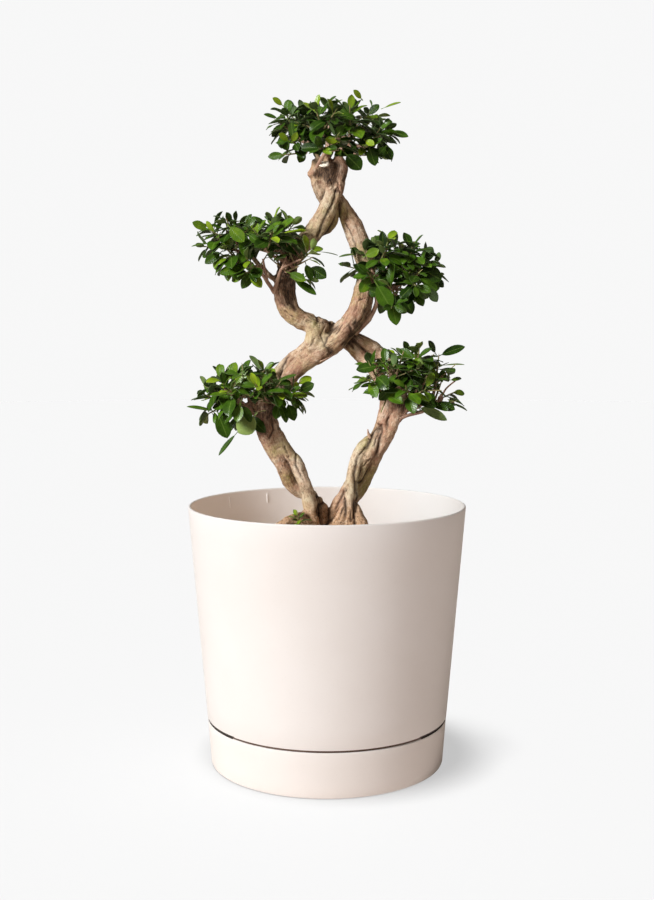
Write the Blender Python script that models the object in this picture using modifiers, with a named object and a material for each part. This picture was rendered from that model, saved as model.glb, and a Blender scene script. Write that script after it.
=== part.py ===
"""Bonsai fig in a round planter that stands in a matching saucer.

Metres, +Z up. The pot's axis is the Z axis, the saucer's flat underside is z = 0, and the tree's
front faces -Y. Run with: blender --background --python part.py
"""

import math
import random

import bmesh
import bpy
from mathutils import Matrix, Vector
from mathutils.bvhtree import BVHTree

GAP = 0.0003  # clearance left between pieces that touch
UP = Vector((0, 0, 1))

# Planter
RIM_RADIUS = 0.190
RIM_Z = 0.358
POT_WALL = 0.004
SEAM_Z = 0.0645  # where the pot's visible side ends, just above the saucer's lip
SEAM_RADIUS = 0.166
FOOT_RADIUS = 0.1583  # the part of the pot that sits down inside the saucer
FOOT_TAPER = 0.0015
FOOT_RING = 0.014  # width of the ring that the pot stands on
FLOOR_RAISE = 0.006  # the pot's floor above the foot ring
TURN_STEPS = 40
DRAIN_RADIUS = 0.012
OUTER_DRAIN_RADIUS = 0.006
OUTER_DRAIN_CIRCLE = 0.085
DRAIN_COUNT = 4
NOTCH_WIDTH = 0.012
NOTCH_COUNT = 4

# Moulded stop ribs inside the rim, in a pair on each of two opposite sides
RIB_ANGLES = (119.0, 140.5, -61.0, -39.5)  # degrees round the axis from +X
RIB_RADIUS = 0.0018
RIB_TOP_Z = 0.352
RIB_HEIGHT = 0.016

# Saucer
SAUCER_HEIGHT = 0.062
SAUCER_FOOT_RADIUS = 0.161
SAUCER_LIP_RADIUS = 0.1655
SAUCER_WALL = 0.0035

# Soil
SOIL_EDGE_Z = 0.299
SOIL_MOUND = 0.015
SOIL_ROUGHNESS = 0.0015
ROOT_CLEARANCE = 0.0020
ROOM_VOXEL = 0.0025
ROOM_SHARE = 0.12

# Trunk: stems that twist round each other and have grown together. Each point is x, y, z, radius.
STEMS = {
    "left_front": (
        (-0.012, -0.010, 0.245, 0.006), (-0.016, -0.012, 0.299, 0.0105), (-0.022, -0.015, 0.355, 0.0095),
        (-0.039, -0.011, 0.409, 0.0098), (-0.056, -0.008, 0.432, 0.0100), (-0.069, -0.001, 0.450, 0.0105),
        (-0.078, 0.004, 0.472, 0.0110), (-0.077, 0.000, 0.498, 0.0120), (-0.058, -0.007, 0.523, 0.0125),
        (-0.032, -0.010, 0.552, 0.0130), (0.010, -0.011, 0.580, 0.0155), (0.039, -0.012, 0.618, 0.0140),
        (0.052, -0.004, 0.661, 0.0130), (0.053, 0.000, 0.683, 0.0130), (0.040, 0.008, 0.723, 0.0150),
        (0.020, 0.009, 0.764, 0.0105), (-0.004, 0.000, 0.795, 0.0095), (-0.013, -0.002, 0.825, 0.0085),
    ),
    "left_back": (
        (0.024, 0.010, 0.250, 0.006), (0.012, 0.008, 0.295, 0.0105), (-0.012, 0.008, 0.358, 0.0095),
        (-0.047, 0.004, 0.382, 0.0102), (-0.061, -0.004, 0.415, 0.0115), (-0.0765, -0.006, 0.448, 0.0155),
        (-0.082, -0.004, 0.467, 0.0170), (-0.084, -0.002, 0.488, 0.0145), (-0.083, 0.002, 0.505, 0.0115),
        (-0.070, 0.006, 0.528, 0.0105), (-0.052, 0.009, 0.551, 0.0105), (-0.003, 0.005, 0.586, 0.0130),
        (0.042, 0.006, 0.612, 0.0120), (0.056, 0.008, 0.656, 0.0105), (0.057, 0.004, 0.684, 0.0090),
    ),
    "right_front": (
        (0.040, -0.016, 0.250, 0.006), (0.033, -0.014, 0.299, 0.0105), (0.031, -0.016, 0.368, 0.0085),
        (0.043, -0.009, 0.426, 0.0095), (0.067, -0.002, 0.450, 0.0105), (0.076, 0.003, 0.466, 0.0110),
        (0.083, 0.004, 0.501, 0.0110), (0.069, 0.000, 0.535, 0.0090), (0.044, 0.009, 0.563, 0.0095),
        (0.015, 0.012, 0.592, 0.0120), (-0.014, 0.000, 0.602, 0.0130), (-0.042, -0.008, 0.614, 0.0135),
        (-0.054, -0.008, 0.633, 0.0155), (-0.057, -0.006, 0.658, 0.0155), (-0.046, 0.005, 0.698, 0.0130),
        (-0.013, -0.004, 0.731, 0.0145), (0.005, -0.013, 0.767, 0.0115), (0.019, -0.003, 0.807, 0.0095),
        (0.013, 0.000, 0.825, 0.0085),
    ),
    "right_back": (
        (0.018, 0.018, 0.250, 0.006), (0.022, 0.012, 0.300, 0.0095), (0.031, 0.010, 0.352, 0.0095),
        (0.047, 0.011, 0.384, 0.0120), (0.064, 0.001, 0.423, 0.0115), (0.085, -0.008, 0.461, 0.0105),
        (0.099, -0.005, 0.499, 0.0090), (0.097, 0.000, 0.528, 0.0100), (0.082, 0.008, 0.555, 0.0105),
        (0.060, 0.012, 0.572, 0.0105), (0.034, 0.014, 0.588, 0.0100),
    ),
    "right_middle": (
        (0.041, -0.002, 0.394, 0.008), (0.059, -0.008, 0.433, 0.010), (0.070, -0.005, 0.455, 0.009),
    ),
    "waist": (
        (-0.006, 0.000, 0.608, 0.0120), (-0.012, -0.004, 0.590, 0.0145), (-0.020, -0.004, 0.566, 0.0120),
    ),
    "crown_back": (
        (-0.016, -0.002, 0.722, 0.0100), (0.000, 0.001, 0.740, 0.0125), (0.007, 0.004, 0.760, 0.0110),
        (0.007, 0.004, 0.778, 0.0095), (0.000, 0.006, 0.808, 0.0105), (0.000, 0.000, 0.826, 0.0100),
    ),
    "crown_left": (
        (-0.001, -0.004, 0.760, 0.006), (-0.013, -0.006, 0.791, 0.0085), (-0.014, -0.001, 0.824, 0.008),
    ),
}
# Surface roots that spread from the stems' feet and go down into the soil
ROOTS = {
    "left_flare": ((-0.019, -0.012, 0.350, 0.009), (-0.031, -0.014, 0.320, 0.011), (-0.042, -0.018, 0.285, 0.008)),
    "left_outer": ((-0.024, -0.006, 0.350, 0.007), (-0.042, -0.010, 0.324, 0.009), (-0.064, -0.014, 0.292, 0.006)),
    "middle": ((0.008, 0.008, 0.335, 0.009), (0.005, -0.004, 0.312, 0.011), (0.006, -0.012, 0.285, 0.008)),
    "right_behind": ((0.038, 0.004, 0.396, 0.007), (0.020, 0.006, 0.366, 0.009), (0.004, 0.008, 0.330, 0.010)),
    "right_inner": ((0.028, -0.014, 0.362, 0.008), (0.014, -0.016, 0.325, 0.010), (0.008, -0.020, 0.290, 0.008)),
    "right_outer": ((0.034, -0.013, 0.362, 0.008), (0.048, -0.016, 0.326, 0.010), (0.056, -0.020, 0.288, 0.008)),
    "back_left": ((-0.012, 0.006, 0.362, 0.009), (-0.022, 0.020, 0.322, 0.012), (-0.034, 0.036, 0.286, 0.008)),
    "back_right": ((0.026, 0.008, 0.372, 0.009), (0.034, 0.022, 0.324, 0.012), (0.048, 0.040, 0.286, 0.008)),
}
POINT_SPACING = 0.012
TRUNK_VOXEL = 0.0045
TRUNK_FACES = 2800
SMOOTH_PASSES = 4

# Foliage: each pad's limb ends at `limb`, forks into branches, and each branch carries shoots. A fork is
# x, y, z; a shoot is the number of its fork, then x, y, z of the middle of its rosette of leaves.
PADS = {
    "crown": {
        "limb": (0.000, 0.000, 0.818),
        "forks": (
            (-0.001, 0.000, 0.836), (-0.025, -0.006, 0.843), (0.031, -0.006, 0.843),
            (0.001, -0.026, 0.848), (0.007, 0.026, 0.855),
        ),
        "shoots": (
            (1, -0.054, -0.012, 0.881), (1, -0.044, -0.038, 0.842), (3, -0.014, -0.046, 0.881),
            (3, 0.014, -0.062, 0.846), (2, 0.030, -0.034, 0.882), (2, 0.078, -0.014, 0.860),
            (2, 0.051, -0.034, 0.835), (1, -0.031, 0.040, 0.890), (4, 0.064, 0.040, 0.885),
            (4, 0.015, 0.066, 0.876), (0, 0.004, 0.000, 0.890),
        ),
    },
    "upper_left": {
        "limb": (-0.058, -0.006, 0.655),
        "forks": (
            (-0.062, -0.002, 0.668), (-0.087, -0.008, 0.682), (-0.106, -0.004, 0.701),
            (-0.053, -0.022, 0.687), (-0.070, 0.022, 0.703),
        ),
        "shoots": (
            (2, -0.156, -0.004, 0.731), (2, -0.131, -0.036, 0.738), (1, -0.134, -0.034, 0.704),
            (1, -0.104, -0.048, 0.688), (3, -0.093, -0.056, 0.723), (3, -0.072, -0.020, 0.738),
            (3, -0.021, -0.034, 0.700), (3, -0.040, -0.046, 0.678), (4, -0.120, 0.042, 0.733),
            (4, -0.062, 0.052, 0.733),
        ),
    },
    "upper_right": {
        "limb": (0.052, 0.002, 0.650),
        "forks": (
            (0.064, 0.000, 0.654), (0.073, -0.016, 0.668), (0.098, -0.004, 0.671),
            (0.089, 0.022, 0.687), (0.094, -0.022, 0.657),
        ),
        "shoots": (
            (1, 0.050, -0.032, 0.699), (1, 0.056, -0.046, 0.669), (1, 0.080, -0.030, 0.714),
            (2, 0.114, -0.024, 0.706), (2, 0.144, -0.006, 0.684), (2, 0.122, -0.044, 0.672),
            (4, 0.082, -0.056, 0.652), (4, 0.108, -0.024, 0.648), (3, 0.094, 0.044, 0.708),
            (3, 0.134, 0.042, 0.688),
        ),
    },
    "lower_left": {
        "limb": (-0.082, -0.002, 0.478),
        "forks": (
            (-0.084, -0.004, 0.490), (-0.104, -0.012, 0.499), (-0.126, -0.006, 0.507),
            (-0.071, -0.024, 0.508), (-0.095, 0.022, 0.514),
        ),
        "shoots": (
            (2, -0.164, -0.010, 0.508), (2, -0.141, -0.030, 0.531), (1, -0.114, -0.012, 0.544),
            (1, -0.128, -0.052, 0.516), (3, -0.092, -0.058, 0.522), (3, -0.064, -0.052, 0.515),
            (3, -0.039, -0.026, 0.524), (1, -0.120, -0.036, 0.484), (4, -0.091, 0.044, 0.540),
            (4, -0.141, 0.044, 0.520),
        ),
    },
    "lower_right": {
        "limb": (0.092, -0.002, 0.486),
        "forks": (
            (0.098, -0.002, 0.498), (0.083, -0.018, 0.520), (0.118, -0.006, 0.512),
            (0.143, -0.006, 0.503), (0.106, 0.022, 0.526),
        ),
        "shoots": (
            (1, 0.058, -0.034, 0.549), (1, 0.072, -0.050, 0.516), (1, 0.100, -0.034, 0.561),
            (2, 0.124, -0.014, 0.569), (3, 0.151, -0.006, 0.556), (3, 0.155, -0.012, 0.527),
            (2, 0.105, -0.054, 0.520), (2, 0.135, -0.036, 0.538), (3, 0.138, -0.030, 0.500),
            (4, 0.089, 0.044, 0.552), (4, 0.132, 0.044, 0.548),
        ),
    },
}
BRANCH_RADIUS = 0.0036
TWIG_RADIUS = 0.0022
SHOOT_RADIUS = 0.0016
SHOOT_LENGTH = 0.020
TWIG_LEAD = 0.010  # a twig's last straight stretch, in line with the shoot on it

LEAVES_PER_SHOOT = 7
LEAF_LENGTH = 0.044
LEAF_WIDTH = 0.52  # of its length
LEAF_THICKNESS = 0.0014
LEAF_TURN = math.radians(137.5)
LEAF_CLEARANCE = 0.0005
LEAF_TRIES = 40
SEED = 11

# A little sprig that grows from the left surface root
SPROUT_FOOT = Vector((-0.038, -0.024, 0.329))
SPROUT_TIP = Vector((-0.042, -0.030, 0.347))
SPROUT_LEAVES = 6
SPROUT_LEAF_LENGTH = 0.017


def clear_scene():
    for old in list(bpy.data.objects):
        bpy.data.objects.remove(old, do_unlink=True)


def new_collection(name, hidden=False):
    collection = bpy.data.collections.new(name)
    collection.hide_render = hidden
    bpy.context.scene.collection.children.link(collection)
    return collection


def new_material(name, colour, roughness):
    material = bpy.data.materials.new(name)
    material.use_nodes = True
    shader = material.node_tree.nodes["Principled BSDF"]
    shader.inputs["Base Color"].default_value = (*colour, 1)
    shader.inputs["Roughness"].default_value = roughness
    return material


def add_object(name, data, collection, material=None):
    obj = bpy.data.objects.new(name, data)
    collection.objects.link(obj)
    if material:
        data.materials.clear()
        data.materials.append(material)
    return obj


def applied(obj):
    """A mesh of the object as its modifiers leave it. The object is removed."""
    graph = bpy.context.evaluated_depsgraph_get()
    mesh = bpy.data.meshes.new_from_object(obj.evaluated_get(graph))
    mesh.transform(obj.matrix_world)
    bpy.data.objects.remove(obj, do_unlink=True)
    return mesh


def welded(mesh, distance=1e-6):
    """The mesh with coincident points joined, such as those where a curve's caps meet its sides."""
    bm = bmesh.new()
    bm.from_mesh(mesh)
    bmesh.ops.remove_doubles(bm, verts=bm.verts, dist=distance)
    bm.to_mesh(mesh)
    bm.free()
    return mesh


def joined(name, meshes):
    bm = bmesh.new()
    for mesh in meshes:
        bm.from_mesh(mesh)
    mesh = bpy.data.meshes.new(name)
    bm.to_mesh(mesh)
    bm.free()
    return mesh


def largest_shell(mesh):
    """Keeps the biggest closed surface of a mesh, and drops slivers and the skins of holes sealed inside it."""
    bm = bmesh.new()
    bm.from_mesh(mesh)
    left = set(bm.faces)
    shells = []
    while left:
        shell = [left.pop()]
        for face in shell:
            for other in [near for edge in face.edges for near in edge.link_faces]:
                if other in left:
                    left.remove(other)
                    shell.append(other)
        shells.append(shell)
    shells.sort(key=len)
    for shell in shells[:-1]:
        bmesh.ops.delete(bm, geom=shell, context="FACES")
    bmesh.ops.recalc_face_normals(bm, faces=bm.faces)
    bm.to_mesh(mesh)
    bm.free()
    return mesh


def boolean(obj, cutter, operation, solve_self=False):
    modifier = obj.modifiers.new(operation.title(), "BOOLEAN")
    modifier.object = cutter
    modifier.operation = operation
    modifier.solver = "EXACT"
    modifier.use_self = solve_self
    return modifier


def arc(centre_r, centre_z, radius, start, end, steps):
    """Profile points on an arc, its angles in degrees from outward (+r) towards up (+z)."""
    angles = [math.radians(start + (end - start) * i / steps) for i in range(steps + 1)]
    return [(centre_r + radius * math.cos(a), centre_z + radius * math.sin(a)) for a in angles]


def turned(name, profile, collection, material, closed):
    """A turned piece. The profile is (radius, height) pairs that run down its outer side."""
    bm = bmesh.new()
    verts = [bm.verts.new((r, 0, z)) for r, z in profile]
    for a, b in zip(verts, verts[1:]):
        bm.edges.new((a, b))
    if closed:
        bm.edges.new((verts[-1], verts[0]))
    mesh = bpy.data.meshes.new(name)
    bm.to_mesh(mesh)
    bm.free()
    obj = add_object(name, mesh, collection, material)
    screw = obj.modifiers.new("Turn", "SCREW")
    screw.axis = "Z"
    screw.steps = screw.render_steps = TURN_STEPS
    screw.use_merge_vertices = True
    screw.merge_threshold = 1e-5
    return obj


def catmull_rom(a, b, c, d, t):
    return 0.5 * (2 * b + (c - a) * t + (2 * a - 5 * b + 4 * c - d) * t**2 + (3 * b - a - 3 * c + d) * t**3)


def smooth_path(points, spacing=POINT_SPACING):
    """A smooth curve through points of x, y, z, radius, read at about the given spacing."""
    points = [Vector(p) for p in points]
    ends = [2 * points[0] - points[1], *points, 2 * points[-1] - points[-2]]
    path = []
    for i in range(1, len(ends) - 2):
        count = max(2, round((ends[i + 1] - ends[i]).length / spacing))
        path += [catmull_rom(*ends[i - 1 : i + 3], t / count) for t in range(count)]
    return [*path, points[-1]]


def tube(name, path, sides_level, collection):
    """A closed mesh tube along points of x, y, z, radius."""
    curve = bpy.data.curves.new(name, "CURVE")
    curve.dimensions = "3D"
    curve.bevel_depth = 1.0
    curve.bevel_resolution = sides_level
    curve.use_fill_caps = True
    spline = curve.splines.new("POLY")
    spline.points.add(len(path) - 1)
    for point, (x, y, z, radius) in zip(spline.points, path):
        point.co = (x, y, z, 1)
        point.radius = radius
    return welded(applied(add_object(name, curve, collection)))


def make_pot(collection, cutters, material):
    rise = (RIM_RADIUS - SEAM_RADIUS) / (RIM_Z - SEAM_Z)
    lip = POT_WALL / 2
    foot_z = SAUCER_WALL + GAP
    foot_bottom_r = FOOT_RADIUS - FOOT_TAPER
    floor_z = foot_z + FLOOR_RAISE
    inner_floor_z = floor_z + POT_WALL
    profile = [
        *arc(RIM_RADIUS - lip, RIM_Z - lip, lip, 120, 0, 5),
        (SEAM_RADIUS + rise * 0.001, SEAM_Z + 0.001),
        (SEAM_RADIUS - 0.001, SEAM_Z),
        (FOOT_RADIUS, SEAM_Z),
        (foot_bottom_r, foot_z + 0.002),
        (foot_bottom_r - 0.002, foot_z),
        (foot_bottom_r - FOOT_RING, foot_z),
        (foot_bottom_r - FOOT_RING - 0.002, floor_z),
        (DRAIN_RADIUS, floor_z),
        (DRAIN_RADIUS, inner_floor_z),
        (foot_bottom_r - POT_WALL - 0.004, inner_floor_z),
        (foot_bottom_r - POT_WALL, inner_floor_z + 0.004),
        (FOOT_RADIUS - POT_WALL, SEAM_Z - 0.002),
        (SEAM_RADIUS - POT_WALL, SEAM_Z + POT_WALL),
        (RIM_RADIUS - POT_WALL, RIM_Z - lip),
    ]
    pot = turned("pot", profile, collection, material, closed=True)

    bm = bmesh.new()
    for i in range(DRAIN_COUNT):
        angle = math.tau * i / DRAIN_COUNT
        place = Matrix.Translation(
            (OUTER_DRAIN_CIRCLE * math.cos(angle), OUTER_DRAIN_CIRCLE * math.sin(angle), floor_z)
        )
        bmesh.ops.create_cone(
            bm, cap_ends=True, segments=12, radius1=OUTER_DRAIN_RADIUS, radius2=OUTER_DRAIN_RADIUS,
            depth=4 * POT_WALL, matrix=place,
        )
    for i in range(NOTCH_COUNT):
        turn = Matrix.Rotation(math.tau * (i + 0.5) / NOTCH_COUNT, 4, "Z")
        place = Matrix.Translation((foot_bottom_r - FOOT_RING / 2, 0, foot_z))
        size = Matrix.Diagonal((2.4 * FOOT_RING, NOTCH_WIDTH, FLOOR_RAISE, 1))
        bmesh.ops.create_cube(bm, size=1, matrix=turn @ place @ size)
    mesh = bpy.data.meshes.new("drain_cutters")
    bm.to_mesh(mesh)
    bm.free()
    boolean(pot, add_object("drain_cutters", mesh, cutters), "DIFFERENCE")

    bm = bmesh.new()
    for angle in RIB_ANGLES:
        tilt = Matrix.Rotation(math.atan(rise), 4, "Y")
        middle_z = RIB_TOP_Z - RIB_HEIGHT / 2
        wall_r = RIM_RADIUS - POT_WALL - (RIM_Z - middle_z) * rise
        place = Matrix.Rotation(math.radians(angle), 4, "Z") @ Matrix.Translation((wall_r, 0, middle_z)) @ tilt
        bmesh.ops.create_cone(
            bm, cap_ends=True, segments=8, radius1=RIB_RADIUS, radius2=RIB_RADIUS, depth=RIB_HEIGHT,
            matrix=place,
        )
    mesh = bpy.data.meshes.new("rib_bars")
    bm.to_mesh(mesh)
    bm.free()
    boolean(pot, add_object("rib_bars", mesh, cutters), "UNION")
    return pot


def make_saucer(collection, material):
    lip = SAUCER_WALL / 2
    profile = [
        *arc(SAUCER_LIP_RADIUS - lip, SAUCER_HEIGHT - lip, lip, 180, 0, 6),
        (SAUCER_FOOT_RADIUS + 0.0002, 0.003),
        (SAUCER_FOOT_RADIUS - 0.0008, 0.0008),
        (SAUCER_FOOT_RADIUS - 0.003, 0),
        (0, 0),
        (0, SAUCER_WALL),
        (SAUCER_FOOT_RADIUS - SAUCER_WALL - 0.003, SAUCER_WALL),
        (SAUCER_FOOT_RADIUS - SAUCER_WALL + 0.001, SAUCER_WALL + 0.003),
    ]
    return turned("saucer", profile, collection, material, closed=True)


def make_soil(collection, material, trunk_mesh, cutters):
    """Potting mix that fills the pot's inside, with the trunk's foot and roots cut out of it."""
    floor_z = SAUCER_WALL + GAP + FLOOR_RAISE + POT_WALL + GAP
    floor_r = FOOT_RADIUS - FOOT_TAPER - POT_WALL - 2 * GAP
    rise = (RIM_RADIUS - SEAM_RADIUS) / (RIM_Z - SEAM_Z)
    edge_r = RIM_RADIUS - POT_WALL - (RIM_Z - SOIL_EDGE_Z) * rise - 2 * GAP
    rings = 5
    top = [
        (edge_r * i / rings, SOIL_EDGE_Z + SOIL_MOUND * (1 - (i / rings) ** 2) ** 2) for i in range(rings + 1)
    ]
    profile = [
        *top,
        (SEAM_RADIUS - POT_WALL - 2 * GAP, SEAM_Z + POT_WALL + GAP),
        (FOOT_RADIUS - POT_WALL - 2 * GAP, SEAM_Z - 0.002),
        (floor_r, floor_z + 0.004),
        (floor_r - 0.004, floor_z),
        (0, floor_z),
    ]
    mesh = applied(turned("soil_body", profile, collection, None, closed=False))
    wobble = random.Random(SEED)
    for vert in mesh.vertices:
        inside = math.hypot(vert.co.x, vert.co.y) < edge_r - 0.001
        if inside and vert.co.z > SOIL_EDGE_Z - 0.001:
            vert.co.z += wobble.uniform(-SOIL_ROUGHNESS, SOIL_ROUGHNESS)
    soil = add_object("soil", mesh, collection, material)

    room = add_object("trunk_room", trunk_mesh.copy(), cutters)
    grow = room.modifiers.new("Clearance", "DISPLACE")
    grow.mid_level = 0
    grow.strength = ROOT_CLEARANCE
    skin = room.modifiers.new("Skin", "REMESH")
    skin.mode = "VOXEL"
    skin.voxel_size = ROOM_VOXEL
    fewer = room.modifiers.new("Fewer", "DECIMATE")
    fewer.ratio = ROOM_SHARE
    boolean(soil, add_object("trunk_room", largest_shell(applied(room)), cutters), "DIFFERENCE")
    return add_object("soil", largest_shell(applied(soil)), collection, material)


def make_stems(collection):
    """The stems and roots, fused into one skin."""
    tubes = [tube(name, smooth_path(points), 2, collection) for name, points in (STEMS | ROOTS).items()]
    fused = add_object("stems", joined("stems", tubes), collection)
    remesh = fused.modifiers.new("Fuse", "REMESH")
    remesh.mode = "VOXEL"
    remesh.voxel_size = TRUNK_VOXEL
    smooth = fused.modifiers.new("Soften", "SMOOTH")
    smooth.factor = 0.5
    smooth.iterations = SMOOTH_PASSES
    mesh = largest_shell(applied(fused))
    fused = add_object("stems", mesh, collection)
    fewer = fused.modifiers.new("Fewer", "DECIMATE")
    fewer.ratio = TRUNK_FACES / (2 * len(mesh.polygons))
    return applied(fused)


def shoot_axis(fork, rosette):
    """The direction that a shoot grows in: away from its fork, and turned up towards the light."""
    return ((rosette - fork).normalized() + 0.45 * UP).normalized()


def pad_branches(pad, collection):
    """Tubes from the limb to each fork, and from each fork to each shoot."""
    limb = Vector(pad["limb"])
    forks = [Vector(fork) for fork in pad["forks"]]
    tubes = []
    for fork in forks:
        middle = limb.lerp(fork, 0.5) - 0.08 * (fork - limb).length * UP
        path = [(*limb, BRANCH_RADIUS), (*middle, BRANCH_RADIUS), (*fork, TWIG_RADIUS * 1.15)]
        tubes.append(tube("branch", path, 1, collection))
    for number, *rosette in pad["shoots"]:
        rosette = Vector(rosette)
        axis = shoot_axis(forks[number], rosette)
        end = rosette - axis * SHOOT_LENGTH
        path = [
            (*forks[number], TWIG_RADIUS),
            (*(end - axis * TWIG_LEAD), TWIG_RADIUS * 0.9),
            (*end, SHOOT_RADIUS),
        ]
        tubes.append(tube("twig", path, 0, collection))
    return tubes


def make_trunk(collection, cutters, material):
    """Stems, roots, branches and twigs: the wood that grew as one piece."""
    stems = make_stems(cutters)
    wood = add_object("trunk_wood", stems.copy(), cutters)
    for pad in PADS.values():
        branches = add_object("branches", joined("branches", pad_branches(pad, cutters)), cutters)
        boolean(wood, branches, "UNION", solve_self=True)
        wood = add_object("trunk_wood", applied(wood), cutters)
    mesh = largest_shell(welded(applied(wood), 1e-5))
    return add_object("trunk", mesh, collection, material), stems


def leaf_mesh(foot, direction, face, length, width, thickness, grow=0.0):
    """A closed leaf: a pointed outline that arches down to its tip, thickest at the midrib."""
    side = direction.cross(face).normalized()
    up = side.cross(direction).normalized()
    half = width / 2 + grow
    thick = thickness / 2 + grow
    length += grow

    def at(along, across, above):
        return foot + direction * along * length + side * across * half + up * above * length

    outline = [
        at(0, 0, 0), at(0.36, -0.84, 0.05), at(0.70, -0.94, 0.03),
        at(1, 0, -0.10), at(0.70, 0.94, 0.03), at(0.36, 0.84, 0.05),
    ]
    top = at(0.55, 0, -0.02) + up * thick
    bottom = at(0.55, 0, -0.02) - up * thick
    bm = bmesh.new()
    ring = [bm.verts.new(point) for point in outline]
    high = bm.verts.new(top)
    low = bm.verts.new(bottom)
    for a, b in zip(ring, ring[1:] + ring[:1]):
        bm.faces.new((a, b, high))
        bm.faces.new((b, a, low))
    bmesh.ops.recalc_face_normals(bm, faces=bm.faces)
    mesh = bpy.data.meshes.new("leaf")
    bm.to_mesh(mesh)
    bm.free()
    return mesh


def tree_of(mesh):
    return BVHTree.FromPolygons([v.co.copy() for v in mesh.vertices], [tuple(p.vertices) for p in mesh.polygons])


def stem_mesh(foot, tip, radius):
    """A short tapered stem of four sides from foot to tip."""
    axis = tip - foot
    bm = bmesh.new()
    place = Matrix.Translation((foot + tip) / 2) @ axis.to_track_quat("Z", "Y").to_matrix().to_4x4()
    bmesh.ops.create_cone(
        bm, cap_ends=True, segments=4, radius1=radius, radius2=radius * 0.6, depth=axis.length, matrix=place,
    )
    mesh = bpy.data.meshes.new("stem")
    bm.to_mesh(mesh)
    bm.free()
    return mesh


def grow_leaves(foot, axis, length, count, leaf_length, chance, standing):
    """Leaves in a spiral round a stem, large and low ones first. Each keeps clear of what is standing."""
    across = axis.orthogonal().normalized()
    start = chance.uniform(0, math.tau)
    leaves = []
    own = []
    for i in range(count):
        height = i / (count - 1)
        size = leaf_length * (1.0 - 0.38 * height) * chance.uniform(0.86, 1.06)
        base = foot + axis * length * (0.25 + 0.68 * height)
        for attempt in range(LEAF_TRIES):
            spread = 0.10 + 0.014 * attempt
            turn = start + i * LEAF_TURN + chance.uniform(-spread, spread) * 2.2
            lift = math.radians(-8 + 58 * height) + chance.uniform(-spread, spread)
            radial = Matrix.Rotation(turn, 3, axis) @ across
            direction = (math.cos(lift) * radial + math.sin(lift) * axis - 0.10 * UP).normalized()
            face = axis + 0.8 * UP + 0.35 * Vector([chance.uniform(-1, 1) for _ in range(3)])
            scale = size * (1 - 0.007 * attempt)
            shape = (direction, face, scale, scale * LEAF_WIDTH, LEAF_THICKNESS)
            wide = tree_of(leaf_mesh(base, *shape, grow=LEAF_CLEARANCE))
            outer = tree_of(leaf_mesh(base + direction * 0.25 * scale, *shape[:2], 0.75 * scale, *shape[3:]))
            if any(wide.overlap(tree) for tree in standing) or any(outer.overlap(tree) for tree in own):
                continue
            mesh = leaf_mesh(base, *shape)
            leaves.append(mesh)
            own.append(tree_of(mesh))
            break
    return leaves, own


def make_shoot(name, stem, leaves, collection, cutters, material):
    shoot = add_object(name, stem, collection, material)
    blades = add_object(name + "_leaves", joined(name + "_leaves", leaves), cutters)
    boolean(shoot, blades, "UNION", solve_self=True)
    return shoot


def make_foliage(collection, cutters, material, trunk):
    """One leafy shoot at the end of each twig."""
    chance = random.Random(SEED)
    plans = []
    for pad_name, pad in PADS.items():
        for index, (number, *rosette) in enumerate(pad["shoots"], start=1):
            rosette = Vector(rosette)
            axis = shoot_axis(Vector(pad["forks"][number]), rosette)
            foot = rosette - axis * (SHOOT_LENGTH - GAP)
            plans.append((f"{pad_name}_shoot_{index:02d}", foot, axis, stem_mesh(foot, rosette, SHOOT_RADIUS)))
    stems = [tree_of(plan[3]) for plan in plans]
    standing = [tree_of(trunk.data)]
    for i, (name, foot, axis, stem) in enumerate(plans):
        others = standing + stems[:i] + stems[i + 1 :]
        leaves, trees = grow_leaves(
            foot, axis, SHOOT_LENGTH, LEAVES_PER_SHOOT, LEAF_LENGTH, chance, others
        )
        standing += trees
        make_shoot(name, stem, leaves, collection, cutters, material)
    return standing


def make_sprout(collection, cutters, material, standing):
    axis = (SPROUT_TIP - SPROUT_FOOT).normalized()
    length = (SPROUT_TIP - SPROUT_FOOT).length
    stem = stem_mesh(SPROUT_FOOT, SPROUT_TIP, SHOOT_RADIUS * 0.7)
    leaves, _ = grow_leaves(
        SPROUT_FOOT, axis, length, SPROUT_LEAVES, SPROUT_LEAF_LENGTH, random.Random(SEED), standing
    )
    return make_shoot("base_sprout", stem, leaves, collection, cutters, material)


def main():
    clear_scene()
    collection = new_collection("potted_bonsai")
    cutters = new_collection("cutters", hidden=True)
    planter = new_material("planter", (0.80, 0.74, 0.68), 0.55)
    tray = new_material("saucer", (0.78, 0.70, 0.62), 0.55)
    bark = new_material("bark", (0.40, 0.29, 0.18), 0.75)
    foliage = new_material("foliage", (0.06, 0.16, 0.03), 0.35)
    earth = new_material("soil", (0.10, 0.06, 0.04), 0.95)

    make_saucer(collection, tray)
    make_pot(collection, cutters, planter)
    trunk, stems = make_trunk(collection, cutters, bark)
    make_soil(collection, earth, stems, cutters)
    standing = make_foliage(collection, cutters, foliage, trunk)
    make_sprout(collection, cutters, foliage, standing)
    for helper in cutters.objects:
        helper.hide_render = True


main()
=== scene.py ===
"""Looks of the potted bonsai fig: bark, leaves, planter, soil and studio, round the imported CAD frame.

Metres, +Z up. The pot's axis is the Z axis, the saucer stands on z = 0, and the tree's front faces -Y.
"""

import math
import random

import bmesh
import bpy
from mathutils import Matrix, Vector, noise
from mathutils.bvhtree import BVHTree
from mathutils.kdtree import KDTree


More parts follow.
